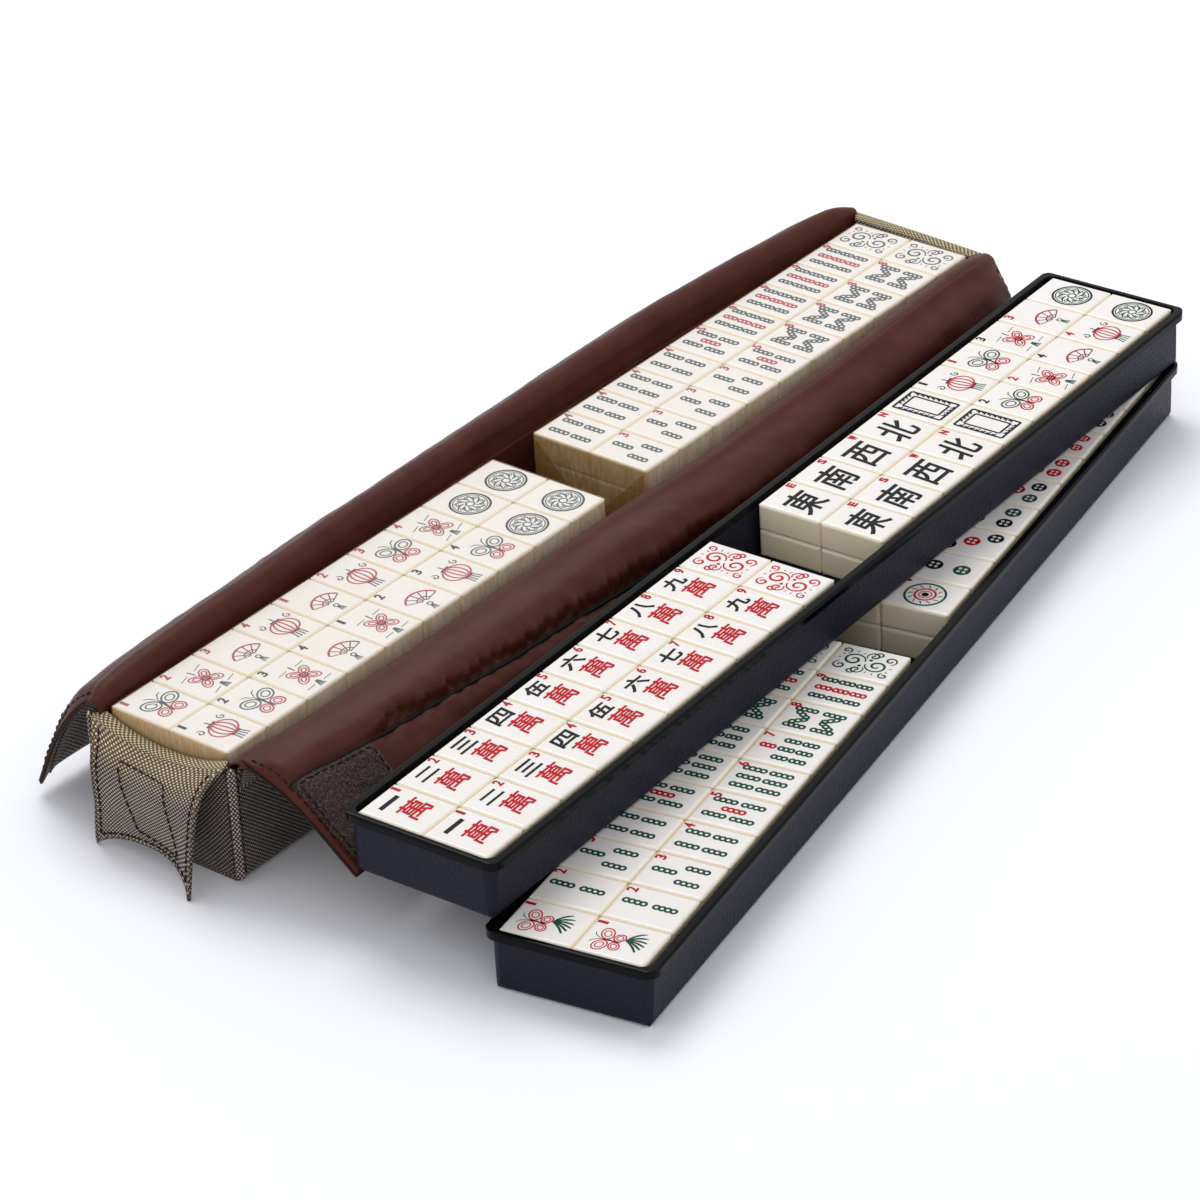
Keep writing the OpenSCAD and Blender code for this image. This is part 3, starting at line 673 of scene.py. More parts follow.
def flapNormal(word, y, s):
    turn = alongProfile(word, y, s)[2]
    return Vector((sideOf(word) * math.sin(turn), 0, math.cos(turn)))


def wallLean(word, y, z):
    # How far a wall has bowed outward at height z: nothing at the floor, most below the crest
    x0, z0, radius = crestAt(word, y)
    return max(0.0, x0 - radius - insideX - 0.3 * mm) * min(1.1, max(0.0, z / z0)) ** 1.5


def wallOutside(word, y, z):
    return wall.x + wallLean(word, y, z)


def wallInside(word, y, z):
    return insideX + wallLean(word, y, z)


def liningAt(word):
    def place(u, v):
        # From the middle of the floor, round the corner and up the wall to the foot of the crest
        y = mix(-insideY - 0.5 * mm, insideY + 0.5 * mm, u)
        corner = 2.5 * mm
        top = crest["foot"][word] * mm
        legs = [insideX - corner, corner * math.pi / 2, top - floorTop - corner]
        d = v * sum(legs)
        if d < legs[0]:
            x, z = d, floorTop + 0.35 * mm * ripple(d, y, 16 * mm, 21) + 0.3 * mm
        elif d < legs[0] + legs[1]:
            t = (d - legs[0]) / corner
            x, z = insideX - corner + corner * math.sin(t), floorTop + corner - corner * math.cos(t)
        else:
            z = mix(floorTop + corner, top, (d - legs[0] - legs[1]) / legs[2])
            x = wallInside(word, y, z) + 0.3 * mm * ripple(y, z, 22 * mm, 5) * math.sin(math.pi * z / top)
        return Vector((sideOf(word) * x, y, z))
    return place


def crestLiningAt(word):
    def place(u, v):
        # From the foot up the inside of the wall, over the padding, and on to where the flap begins
        y = mix(-endWall.y + 0.8 * mm, endWall.y - 0.8 * mm, u)
        x0, z0, radius = crestAt(word, y)
        low = crest["foot"][word] * mm - 1 * mm
        start = hangingProfile(word, y)[0][2]
        rise = max(0.5 * mm, z0 - low)
        past = 0.5 if word == "left" else 0.3
        arc = radius * (math.pi / 2 + start + past)
        d = v * (rise + arc)
        if d < rise:
            z = low + d
            lean = ease(d / rise)
            return Vector((sideOf(word) * mix(wallInside(word, y, z), x0 - radius, lean), y, z))
        t = (d - rise) / radius
        tuck = 0.4 * mm * ease((t - math.pi / 2 - start + 0.25) / 0.4) if word == "right" else 0
        lump = (0.45 * mm * ripple(y, d * 0.5, 21 * mm, 15) + 0.2 * mm * ripple(y, d, 8 * mm, 19)) * ease(t)
        r = radius - tuck + lump * ease((math.pi / 2 + start + past - t) / 0.6)
        return Vector((sideOf(word) * (x0 - r * math.cos(t)), y, z0 + r * math.sin(t)))
    return place


def crestCanvasAt(word):
    def place(u, v):
        # The outer cloth from the wall's top round into the flap's outside
        y = mix(-flap["halfLong"], flap["halfLong"], u)
        foot = crest["foot"][word] * mm - 0.7 * mm
        a = Vector((wallOutside(word, y, foot) + 0.1 * mm, 0, foot))
        x, z, turn = alongProfile(word, y, 3 * mm)
        out = -flap["thick"] + 0.5 * mm
        c = Vector((x + out * math.sin(turn), 0, z + out * math.cos(turn)))
        reach = 7 * mm
        b = Vector((c.x - reach * math.cos(turn), 0, c.z + reach * math.sin(turn) - 1.5 * mm))
        top = Vector((a.x + 0.6 * mm, 0, max(a.z + 2 * mm, b.z - 1 * mm)))
        p = a * (1 - v) ** 3 + top * 3 * v * (1 - v) ** 2 + b * 3 * v * v * (1 - v) + c * v ** 3
        return Vector((sideOf(word) * p.x, y, p.z))
    return place


def closingBandAt(word):
    # A band of cloth that lies inside the crest at rest.
    # It has only two rows: one on the wall, and the other inside the crest.
    def place(u, v):
        y = mix(-flap["halfLong"] + 1 * mm, flap["halfLong"] - 1 * mm, u)
        x0, z0, radius = crestAt(word, y)
        if v < 0.5:
            z = crest["foot"][word] * mm - 1.2 * mm
            return Vector((sideOf(word) * (wallOutside(word, y, z) - 0.5 * mm), y, z))
        reach = 0.6 if word == "right" else 0.1
        return Vector((sideOf(word) * (x0 + 0.05 * radius), y, z0 + reach * radius))
    return place


def wallBoardAt(word):
    def place(u, v):
        y = mix(-insideY, insideY, u)
        z = mix(floorTop - 3 * mm, crest["foot"][word] * mm - 1.5 * mm, v)
        return Vector((sideOf(word) * (mix(wallInside(word, y, z), wallOutside(word, y, z), 0.78)), y, z))
    return place


def flapLiningAt(word, y, s):
    # On the left, the flap's lining starts under the crest's; on the right it lies over it
    under = -0.9 * mm * (1 - ease((s + 1 * mm) / (6 * mm))) if word == "left" else 0
    return flapPoint(word, y, s, under)


def flapPieces(word):
    # Lining, woven outside, rolled edge and hems of one long flap
    side = sideOf(word)
    long = 2 * flap["halfLong"]
    half = flap["halfLong"]
    wide = flap["length"]
    top = clothPiece(word + "FlapLining", 300, 56, lambda u, v: flapLiningAt(word, mix(-half, half, u),
            mix(-3 * mm, wide, v)), (long, wide + 3 * mm), lining, 0.5 * mm, side)
    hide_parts(word + "_flap_lining", word + "_flap_foam")
    under = clothPiece(word + "FlapOutside", 200, 30, lambda u,
            v: flapPoint(word, mix(-half, half, u), mix(1 * mm, wide, v), -flap["thick"] + 0.3 * mm,
            False), (long, wide - 1 * mm), canvasLight, 0.6 * mm, side)
    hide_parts(word + "_flap_fabric")

    edge = [flapPoint(word, -half, s * mm, -0.8 * mm, False) for s in range(0, 62, 2)]
    edge += [flapPoint(word, mix(-half, half, i / 120), wide, -0.8 * mm, False) for i in range(121)]
    edge += [flapPoint(word, half, s * mm, -0.8 * mm, False) for s in range(60, -2, -2)]
    binding = tubePiece(word + "FlapEdge", edge, flap["binding"], bindingCloth, 10)

    inset = 2.6 * mm
    line = [(-half + inset, s * mm) for s in range(0, 59, 3)]
    line += [(mix(-half + inset, half - inset, i / 160), wide - inset) for i in range(161)]
    line += [(half - inset, s * mm) for s in range(58, 0, -3)]
    hem = stitchRow(word + "FlapHemStitches", [flapPoint(word, y, s, 0.45 * mm) for y, s in line],
            [flapNormal(word, y, s) for y, s in line], blackThread, 3.2 * mm, 0.7 * mm, 0.75 * mm)
    seam = [mix(-half + 46 * mm, half - 46 * mm, i / 300) for i in range(301)]
    # Painted shadow: a black cord along the sewn line stands in for the shade under the puckered padding
    shadowCord = tubePiece(word + "FlapSeamShadowCord", [flapPoint(word, y, seamLine(word, y), 0.3 * mm) for y in seam],
            flap["shadowCord"], blackThread, 8)
    return [top, under, binding, hem, shadowCord]


patch = {
    "fromEdge": 3.2 * mm,    # distance from the flap's end
    "long": 42 * mm,
    "inset": 3 * mm,         # distance of its outer edge from the flap's free edge
    "thick": 1.0 * mm,
}


def patchSpot(word, y0, y1, u, v):
    y = mix(y0, y1, u)
    return y, mix(seamLine(word, y) + 0.8 * mm, flap["length"] - patch["inset"], v)


def tapePatch(name, word, y0, y1, off, material):
    # A patch of tape sewn to a long flap: its pile stands a little higher in the middle
    def place(u, v):
        y, s = patchSpot(word, y0, y1, u, v)
        inner = ease(min(u, 1 - u) * (y1 - y0) / (2 * mm)) * ease(min(v, 1 - v) * 34 / 2)
        lump = 0.3 * mm * ripple(y, s, 1.6 * mm, 2) + 0.15 * mm * ripple(y, s, 5 * mm, 4)
        sign = 1 if off > 0 else -1
        return flapPoint(word, y, s, off + sign * (0.35 * mm + lump) * inner, off > 0)
    return clothPiece(name, 64, 52, place, (y1 - y0, 35 * mm), material, patch["thick"] / 2,
            sideOf(word) if off > 0 else -sideOf(word))


def patchPieces(word):
    side = sideOf(word)
    made = []
    for end in (-1, 1):
        y0, y1 = sorted((end * (flap["halfLong"] - patch["fromEdge"]),
                end * (flap["halfLong"] - patch["fromEdge"] - patch["long"])))
        label = "Near" if end < 0 else "Far"
        loops = tapePatch(word + "Loops" + label, word, y0, y1, 0.4 * mm, pile)
        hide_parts(word + "_flap_loops")
        made.append(loops)
        a, b = 1.6 * mm / (y1 - y0), 1.6 / 34
        corners = [(a, b), (1 - a, b), (1 - a, 1 - b), (a, 1 - b), (a, b)]
        path = [patchSpot(word, y0, y1, mix(p[0], q[0], i / 20), mix(p[1], q[1], i / 20)) for p,
                q in zip(corners, corners[1:]) for i in range(20)]
        made.append(stitchRow(word + "LoopStitches" + label, [flapPoint(word, y, s, 1.15 * mm) for y,
                s in path], [flapNormal(word, y, s) for y, s in path], blackThread, 3.2 * mm, 0.7 * mm,
                0.75 * mm, closed=True))
        # The tape's upper edge is turned under, in a dark fold that runs on over its corner
        rim = [patchSpot(word, y0, y1, mix(-0.02, 1.04, i / 40), -0.01) for i in range(41)]
        made.append(tubePiece(word + "LoopFold" + label, [flapPoint(word, y, s, 0.55 * mm) for y, s in rim],
                0.7 * mm, blackThread, 8))
        if side < 0:
            hooks = tapePatch(word + "Hooks" + label, word, y0, y1, -flap["thick"] - 0.35 * mm, hookTape)
            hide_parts(word + "_flap_hooks")
            made.append(hooks)
    return made


for word in ("left", "right"):
    side = sideOf(word)
    long = 2 * endWall.y

    inner = clothPiece(word + "WallLining", 200, 60, liningAt(word), (0.489, 0.078), lining,
            0.5 * mm, -side)
    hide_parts("base_lining", word + "_lining")
    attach(inner, "case")
    board = clothPiece(word + "WallBoard", 60, 8, wallBoardAt(word), (0.488, 0.046), greyBoard,
            2.2 * mm, side)
    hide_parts(word + "_board")
    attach(board, "case")

    over = clothPiece(word + "Crest", 260, 36, crestLiningAt(word), (long, 26 * mm), lining,
            0.5 * mm, -side)
    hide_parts(word + "_roll")
    around = clothPiece(word + "CrestCanvas", 160, 16, crestCanvasAt(word), (2 * flap["halfLong"], 14 * mm),
            canvasDark, 0.5 * mm, side)
    for piece in (over, around):
        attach(piece, "case")
        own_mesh(piece)

    band = clothPiece(word + "ClosingBand", 100, 1, closingBandAt(word), (2 * flap["halfLong"], 20 * mm),
            canvasDark, 0.4 * mm, side)
    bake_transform(band)

    turn = math.radians(closing["turn"][word])
    lift = closing["lift"][word]
    for piece in flapPieces(word) + patchPieces(word):
        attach(piece, word + "_flap")
        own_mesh(piece)
print("long sides: done")


# The case's woven outside
shell = {
    "baseRadius": 4 * mm,
    "bulge": 0.4 * mm,
    "sag": 6.0,              # how far the near wall's top sags between the corners, in mm
    "nearTop": 51.6,
    "farTop": 54.4,          # in the middle, and it falls towards the trays' side
}


def endTop(x, sign):
    # Height of an end wall's top at x
    if sign > 0:
        return (shell["farTop"] - 0.03 * x / mm) * mm
    return (shell["nearTop"] - shell["sag"] * max(0.0, 1 - (abs(x) / (31 * mm)) ** 2.2)) * mm


def wrapAt(u, v):
    # One length of canvas: down the left wall, under the base and up the right wall
    word = "left" if v < 0.5 else "right"
    across = abs(2 * v - 1)
    y = mix(-endWall.y + 0.4 * mm, endWall.y - 0.4 * mm, u)
    top = crest["foot"][word] * mm
    r = shell["baseRadius"]
    legs = [wall.x - r, r * math.pi / 2, top - r]
    d = across * sum(legs)
    if d < legs[0]:
        x, z = d, 0.02 * mm
    elif d < legs[0] + legs[1]:
        t = (d - legs[0]) / r
        x, z = wall.x - r + r * math.sin(t), r - r * math.cos(t) + 0.02 * mm
    else:
        t = (d - legs[0] - legs[1]) / legs[2]
        z = mix(r, top, t)
        bulge = shell["bulge"] * math.sin(math.pi * t) * (0.6 + 0.9 * ripple(y, z, 50 * mm, 31))
        x = wallOutside(word, y, z) + bulge
    return Vector((sideOf(word) * x, y, z))


def endClothAt(sign, y, low, drop, half, bulge):
    def place(u, v):
        # An end panel: its bottom corners follow the rounded edges of the base, and its top sags
        x = mix(-half, half, u)
        z = mix(low, endTop(x, sign) - drop, v)
        r = shell["baseRadius"]
        if z < r and low < r:
            x = max(-1.0, min(1.0, x / half)) * (half - r + math.sqrt(max(0.0, r * r - (r - z) ** 2)))
        k = math.sin(math.pi * u) ** 0.5 * math.sin(math.pi * min(1,
                v * 0.9 + 0.05)) ** 0.5 if 0 < u < 1 else 0
        return Vector((x, sign * (y + (bulge + 0.3 * mm * ripple(x, z, 18 * mm, 41)) * k), z))
    return place


caseWrap = clothPiece("caseWrap", 260, 150, wrapAt, (2 * endWall.y, 0.176), canvasDark,
        0.7 * mm, 1)
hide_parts("left_wall_fabric", "right_wall_fabric", "base_fabric")
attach(caseWrap, "case")
for word, sign in (("near", -1), ("far", 1)):
    outer = clothPiece(word + "WallCloth", 60, 44, endClothAt(sign, endWall.y - 0.9 * mm, 0.3 * mm,
            0.4 * mm, wall.x - 0.3 * mm, 0.8 * mm), (2 * wall.x, endWall.z), canvasDark,
            0.7 * mm, -sign)
    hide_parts(word + "_wall_fabric")
    stiff = clothPiece(word + "WallBoard", 30, 20, endClothAt(sign, mix(insideY, endWall.y, 0.6),
            floorTop - 3 * mm, 2.6 * mm, insideX, 0), (2 * insideX, endWall.z), greyBoard,
            1.8 * mm, -sign)
    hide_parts(word + "_board")
    inner = clothPiece(word + "Lining", 40, 30, endClothAt(sign, insideY, floorTop, 0.8 * mm,
            insideX + 0.3 * mm, 0), (2 * insideX, endWall.z), lining, 0.5 * mm, sign)
    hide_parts(word + "_lining")
    for piece in (outer, stiff, inner):
        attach(piece, "case")


def seamAt(sx, sy):
    # Where two panels meet, their edges stand out as a narrow sewn fold
    points = []
    word = "left" if sx < 0 else "right"
    for i in range(44):
        z = mix(3.0 * mm, 52 * mm, i / 43)
        wobble = 0.25 * mm * ripple(z, sx + sy, 9 * mm, 61)
        points.append(Vector((sx * (wallOutside(word, sy * (endWall.y - 1 * mm), z) + wobble),
                sy * (endWall.y + 0.1 * mm + wobble), z)))
    return points


for sx in (-1, 1):
    for sy in (-1, 1):
        label = ("Left" if sx < 0 else "Right") + ("Near" if sy < 0 else "Far")
        ridge = []
        for shiftX, shiftY, wide in ((0.9, -0.3, 0.95), (-0.1, 0.9, 0.95), (0.2, 0.2, 1.0)):
            shift = Vector((sx * shiftX * mm, sy * shiftY * mm, 0))
            ridge.append(tubePiece("seam", [p + shift for p in seamAt(sx, sy)], wide * mm, canvasLight,
                    8))
        seam = joinPieces("cornerSeam" + label, ridge)
        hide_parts("corner_bindings")
        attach(seam, "case")
        for turn, out in ((0, Vector((sx, 0, 0))), (1, Vector((0, sy, 0)))):
            shift = Vector((sx * 0.3, -sy * 2.6, 0)) * mm if turn == 0 else Vector((-sx * 2.6, sy * 0.3,
                    0)) * mm
            row = stitchRow("cornerStitches" + label + str(turn), [p + shift for p in seamAt(sx, sy)],
                    [out] * 44, brownThread, 2.2 * mm, 0.8 * mm)
            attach(row, "case")
        threadByPlace(seam)
print("case outside: done")


# The short flaps, in mm at the near end, and turned about for the far end. The edges are pairs of
# height and x, and "out" is the distance from the wall by height.
endFlap = {
    "rightEdge": [(0, 27.4), (14.7, 25.6), (27.5, 26.0), (40.4, 27.3), (46, 29.2), (50, 32.6), (52, 34.4)],
    "leftEdge": [(0, -29.2), (10, -28.4), (22, -27.2), (38.6, -28.4), (46, -30.2), (50, -33.0), (52, -35.2)],
    "arch": 8.7,             # height of the free edge between its two points
    "out": [(0, 10.5), (20, 10.6), (36, 9.8), (42, 8.0), (46, 5.4), (49, 2.6), (51.5, 0.6)],
    "flareRight": 9.5,
    "flareLeft": -0.5,
    "foldThick": 1.2,
    "thick": 1.1 * mm,
    "square": [(-16.1, 41.1), (7.9, 39.0), (16.7, 11.5), (-5.5, 15.1)],   # sewn round the tape: x, height
    "slope": 77,             # of the flap's plane, in degrees
    "keep": 0.12,
}


def endFlapOut(x, z, sign):
    # Distance in mm from the wall's face at x and height z, both in mm
    low = max(0.0, 1 - z / 40) ** 1.3
    flare = endFlap["flareRight"] * max(0, x / 27) ** 2.2 if x > 0 else endFlap["flareLeft"] * (x / -30) ** 2
    sag = endTop(-sign * x * mm, sign) / mm - shell["nearTop"]
    soft = 0.7 * ripple(x * mm, z * mm, 22 * mm, 71) * ease((50 - z) / 12)
    return follow(endFlap["out"], z - sag * (0.8 if sag < 0 else 1.0)) + flare * low + soft


def endRowWidth(z, u):
    return mix(follow(endFlap["leftEdge"], z), follow(endFlap["rightEdge"], z), u)


def endFlapAt(sign, tight=0.0):
    def place(u, v):
        # From just below the fold down to the free edge, which is cut in an arch
        across = 2 * u - 1
        top = endTop(-sign * across * 33 * mm, sign) / mm - 0.4
        bottom = endFlap["arch"] * (1 - across * across) ** 0.75 + 0.9
        z = mix(top, bottom, v)
        lift = (shell["nearTop"] - 0.4 - top) * (1 - v)      # the sag doesn't narrow the flap
        x = endRowWidth(z + lift, u)
        y = endWall.y / mm + 0.5 + endFlapOut(x, z, sign) - tight
        return Vector((-sign * x, sign * y, z)) * mm
    return place


def endFoldAt(sign):
    def place(u, v):
        # From inside the wall up over its top to where the flap begins: a soft, full fold
        across = 2 * u - 1
        inner = mix(-31.2, 31.2, u)
        crestZ = endTop(-sign * inner * mm, sign) / mm
        if v < 0.35:
            return Vector((-sign * inner, sign * (insideY / mm - 0.7),
                    mix(crestZ - 7, crestZ - 0.3, v / 0.35))) * mm
        t = (v - 0.35) / 0.65
        end = endFlapAt(sign)(u, 0.0) / mm
        angle = math.pi * t
        y = mix(insideY / mm - 0.7, abs(end.y), 0.5 - 0.5 * math.cos(angle))
        z = mix(crestZ - 0.3, end.z, t) + endFlap["foldThick"] * math.sin(angle) * (1 - 0.25 * across ** 2)
        x = mix(inner, -sign * end.x, ease(t * 1.2))
        return Vector((-sign * x, sign * y, z)) * mm
    return place


def endFlapSpot(sign, x, z, lift):
    return Vector((-sign * x, sign * (endWall.y / mm + 0.5 + endFlapOut(x, z, sign) + lift), z)) * mm


for word, sign in (("near", -1), ("far", 1)):
    fold = clothPiece(word + "EndFold", 60, 26, endFoldAt(sign), (66 * mm, 17 * mm), canvasLight,
            endFlap["thick"], -1)
    place = endFlapAt(sign)
    sheet = clothPiece(word + "EndFlap", 60, 70, place, (62 * mm, 52 * mm), canvasLight,
            endFlap["thick"], -1)
    for vert in sheet.data.attributes["thread"].data:
        vert.vector.y += 17 * mm
    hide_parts(word + "_flap_inner", word + "_flap_outer")
    out = Vector((0, sign, 0.15)).normalized()
    rim = [place(0.0, v / 40) for v in range(0, 41)] + [place(u / 40, 1.0) for u in range(1, 40)]
    rim += [place(1.0, v / 40) for v in range(40, -1, -1)]
    edge = tubePiece(word + "EndFlapEdge", [p - Vector((0, sign * 0.5 * mm, 0)) for p in rim], 0.8 * mm,
            canvasDark, 8)
    threadByPlace(edge)
    inner = [place(0.05, v / 60) for v in range(2, 58)] + [place(mix(0.05, 0.95, u / 40), 0.95)
            for u in range(1, 40)]
    inner += [place(0.95, v / 60) for v in range(57, 1, -1)]
    rows = [stitchRow(word + "EndFlapHem", [p + out * 0.1 * mm for p in inner], [out] * len(inner),
            brownThread, 2.8 * mm, 0.5 * mm, 0.75 * mm)]
    square = endFlap["square"]
    path = []
    for a, b in zip(square, square[1:] + square[:1]):
        path += [(mix(a[0], b[0], i / 18), mix(a[1], b[1], i / 18)) for i in range(18)]
    rows.append(stitchRow(word + "EndFlapSquare", [endFlapSpot(sign, x, z, 0.12) for x, z in path],
            [out] * len(path), brownThread, 2.8 * mm, 0.5 * mm, 0.75 * mm, closed=True))

    def hookAt(u, v, sign=sign):
        a, b, c, d = (Vector(p) for p in endFlap["square"])
        spot = a.lerp(b, u).lerp(d.lerp(c, u), v)
        return endFlapSpot(sign, spot.x, spot.y, -1.5)
    hooks = clothPiece(word + "EndFlapTape", 24, 28, hookAt, (24 * mm, 28 * mm), pile, 0.6 * mm, 1)
    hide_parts(word + "_flap_patch")
    turn = math.radians(endFlap["slope"])
    for piece in [sheet, edge, hooks] + rows:
        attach(piece, word + "_end_flap")
        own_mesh(piece)
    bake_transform(fold)
print("end flaps: done")


# The shrink film round each block
wrap = {
    "off": 0.22 * mm,
    "round": 1.4 * mm,
    "wrinkle": 0.16 * mm,
}


def filmPiece(word):
    # A closed skin round the block: rounded box whose faces are cut fine enough to wrinkle
    low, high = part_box(word + "_block_layer_1")[0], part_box(word + "_block_layer_4")[1]
    low -= Vector((1, 1, 0)) * wrap["off"] + Vector((0, 0, 0.1 * mm))
    high += Vector((1, 1, 1)) * wrap["off"]
    size = high - low
    mesh = bmesh.new()
    bmesh.ops.create_cube(mesh, size=1.0, matrix=Matrix.Translation((low
            + high) / 2) @ Matrix.Diagonal((*size, 1)))
    bmesh.ops.bevel(mesh, geom=mesh.edges[:], offset=wrap["round"], segments=3, profile=0.5, affect="EDGES")
    for axis, step in ((0, 6 * mm), (1, 4 * mm), (2, 4 * mm)):
        count = int(size[axis] / step)
        for i in range(1, count):
            spot = Vector((0, 0, 0))
            spot[axis] = mix(low[axis], high[axis], i / count)
            normal = Vector((0, 0, 0))
            normal[axis] = 1
            bmesh.ops.bisect_plane(mesh, geom=mesh.verts[:] + mesh.edges[:] + mesh.faces[:], plane_co=spot,
                    plane_no=normal)
    bmesh.ops.recalc_face_normals(mesh, faces=mesh.faces[:])
    mesh.normal_update()
    for vert in mesh.verts:
        p = vert.co
        n = vert.normal
        facing = max(abs(n.x), abs(n.y), abs(n.z))
        amount = wrap["wrinkle"] * (0.35 if abs(n.z) > 0.9 else 1.0) * ease((facing - 0.6) / 0.3)
        vert.co = p + n * amount * (0.5 + 0.9 * noise.noise(p * 160) + 0.5 * noise.noise(p * 420))
    made = bpy.data.meshes.new(word + "Film")
    mesh.to_mesh(made)
    mesh.free()
    piece = addObject(word + "Film", made)
    made.materials.append(filmSkin)
    for polygon in made.polygons:
        polygon.use_smooth = True
    return piece


def foldedEnd(word, sign):
    # The film's folded ends: two triangles lapped over each other on each end face
    low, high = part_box(word + "_block_layer_1")[0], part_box(word + "_block_layer_4")[1]
    y = (low.y if sign < 0 else high.y) + sign * (wrap["off"] + 0.25 * mm)
    w, h = high.x - low.x, high.z - low.z
    verts, faces = [], []
    for flip in (-1, 1):
        tip = Vector(((low.x + high.x) / 2 + flip * 0.05 * w, y, low.z + h * 0.42))
        corners = [Vector((flip * w / 2 * 0.97, y, low.z + h * 0.03)),
                Vector((flip * w / 2 * 0.97, y, high.z - h * 0.03)), tip]
        n = 10
        index = {}
        for i in range(n + 1):
            for j in range(n + 1 - i):
                a, b = i / n, j / n
                p = corners[0] * (1 - a - b) + corners[1] * a + corners[2] * b
                p.y += sign * (0.12 * mm * noise.noise(p * 300) + (0.08 * mm if flip > 0 else 0))
                index[(i, j)] = len(verts)
                verts.append(p)
        for i in range(n):
            for j in range(n - i):
                faces.append((index[(i, j)], index[(i + 1, j)], index[(i, j + 1)]))
                if i + j < n - 1:
                    faces.append((index[(i + 1, j)], index[(i + 1, j + 1)], index[(i, j + 1)]))
    return newPiece(word + "FilmFold" + ("Near" if sign < 0 else "Far"), verts, faces, filmSkin)


for word in ("near", "far"):
    skin = filmPiece(word)
    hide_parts(word + "_block_film")
    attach(skin, word + "_block")
    for sign in (-1, 1):
        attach(foldedEnd(word, sign), word + "_block")
print("film: done")


# The marks cut into the tiles' faces
marks = {
    "proud": 0.035 * mm,
    "deep": 0.15 * mm,
    "numberAt": (8.0, 11.6),     # right and up from the middle of a face, in mm
    "numberTall": 4.2,
}
# Faces are drawn in mm: u to the reader's right, v up. Right is +Y and up is -X at rest.


def tilePlaces(node):
    # Centre of each tile's top face and the turn of the group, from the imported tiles
    source = bmesh.new()
    source.from_mesh(frame["nodes"][node].data)
    bmesh.ops.remove_doubles(source, verts=source.verts[:], dist=0.01 * mm)
    left = set(source.verts)
    centres = []
    while left:
        stack = [left.pop()]
        island = []
        while stack:
            vert = stack.pop()
            island.append(vert.co.copy())
            for edge in vert.link_edges:
                other = edge.other_vert(vert)
                if other in left:
                    left.discard(other)
                    stack.append(other)
        low = Vector([min(p[k] for p in island) for k in range(3)])
        high = Vector([max(p[k] for p in island) for k in range(3)])
        centres.append(Vector(((low.x + high.x) / 2, (low.y + high.y) / 2, high.z)))
    source.free()
    middle = sum(centres, Vector()) / len(centres)
    xx = sum((c.x - middle.x) * (c.x - middle.x) for c in centres)
    yy = sum((c.y - middle.y) * (c.y - middle.y) for c in centres)
    xy = sum((c.x - middle.x) * (c.y - middle.y) for c in centres)
    angle = 0.5 * math.atan2(2 * xy, xx - yy)
    along = Vector((math.cos(angle), math.sin(angle), 0))
    if along.y < 0:
        along = -along
    up = Vector((-along.y, along.x, 0))
    columns = {"L": [], "R": []}
    for c in centres:
        columns["L" if (c - middle).dot(up) > 0 else "R"].append(c)
    for key in columns:
        columns[key].sort(key=lambda c: c.dot(along))
    return columns, along, up


def circlePoints(cx, cy, rx, ry=None, count=24, start=0.0, end=math.tau):
    ry = rx if ry is None else ry
    return [(cx + rx * math.cos(mix(start, end, i / count)), cy + ry * math.sin(mix(start, end, i / count)))
            for i in range(count + 1)]


def stroke(points, width, taper=0.0):
    # A ribbon along a line; taper thins both ends
    verts, faces = [], []
    count = len(points)
    for i, p in enumerate(points):
        a, b = points[max(i - 1, 0)], points[min(i + 1, count - 1)]
        if i in (0, count - 1) and math.dist(points[0], points[-1]) < 1e-6:
            a, b = points[-2], points[1]
        dx, dy = b[0] - a[0], b[1] - a[1]
        size = math.hypot(dx, dy) or 1
        w = width / 2 * (1 - taper * abs(2 * i / (count - 1) - 1) ** 2)
        verts += [(p[0] - dy / size * w, p[1] + dx / size * w), (p[0] + dy / size * w, p[1] - dx / size * w)]
        if i:
            k = 2 * i
            faces.append((k - 2, k - 1, k + 1, k))
    return verts, faces


def blob(points):
    return list(points), [tuple(range(len(points)))]


def disc(cx, cy, r, count=20):
    return blob(circlePoints(cx, cy, r, count=count)[:-1])


def ring(cx, cy, r, width, ry=None, count=24):
    return stroke(circlePoints(cx, cy, r, ry, count), width)


glyphs = {}


def glyph(text):
    # Outline of a character as flat faces, in units of its own height
    if text not in glyphs:
        curve = bpy.data.curves.new("glyph", "FONT")
        curve.body = text
        curve.resolution_u = 3
        holder = addObject("glyph", curve)
        mesh = bpy.data.meshes.new_from_object(holder.evaluated_get(bpy.context.evaluated_depsgraph_get()))
        low = [min(v.co[k] for v in mesh.vertices) for k in (0, 1)]
        high = [max(v.co[k] for v in mesh.vertices) for k in (0, 1)]
        tall = max(high[1] - low[1], 1e-6)
        wide = max(high[0] - low[0], 1e-6)
        verts = [((v.co.x - (low[0] + high[0]) / 2) / wide, (v.co.y - (low[1] + high[1]) / 2) / tall)
                for v in mesh.vertices]
        used = {}
        for p in mesh.polygons:
            for key in p.edge_keys:
                used[key] = used.get(key, 0) + 1
        glyphs[text] = (verts, [tuple(p.vertices) for p in mesh.polygons],
                [k for k, n in used.items() if n == 1])
        bpy.data.objects.remove(holder)
        bpy.data.curves.remove(curve)
        bpy.data.meshes.remove(mesh)
    return glyphs[text]


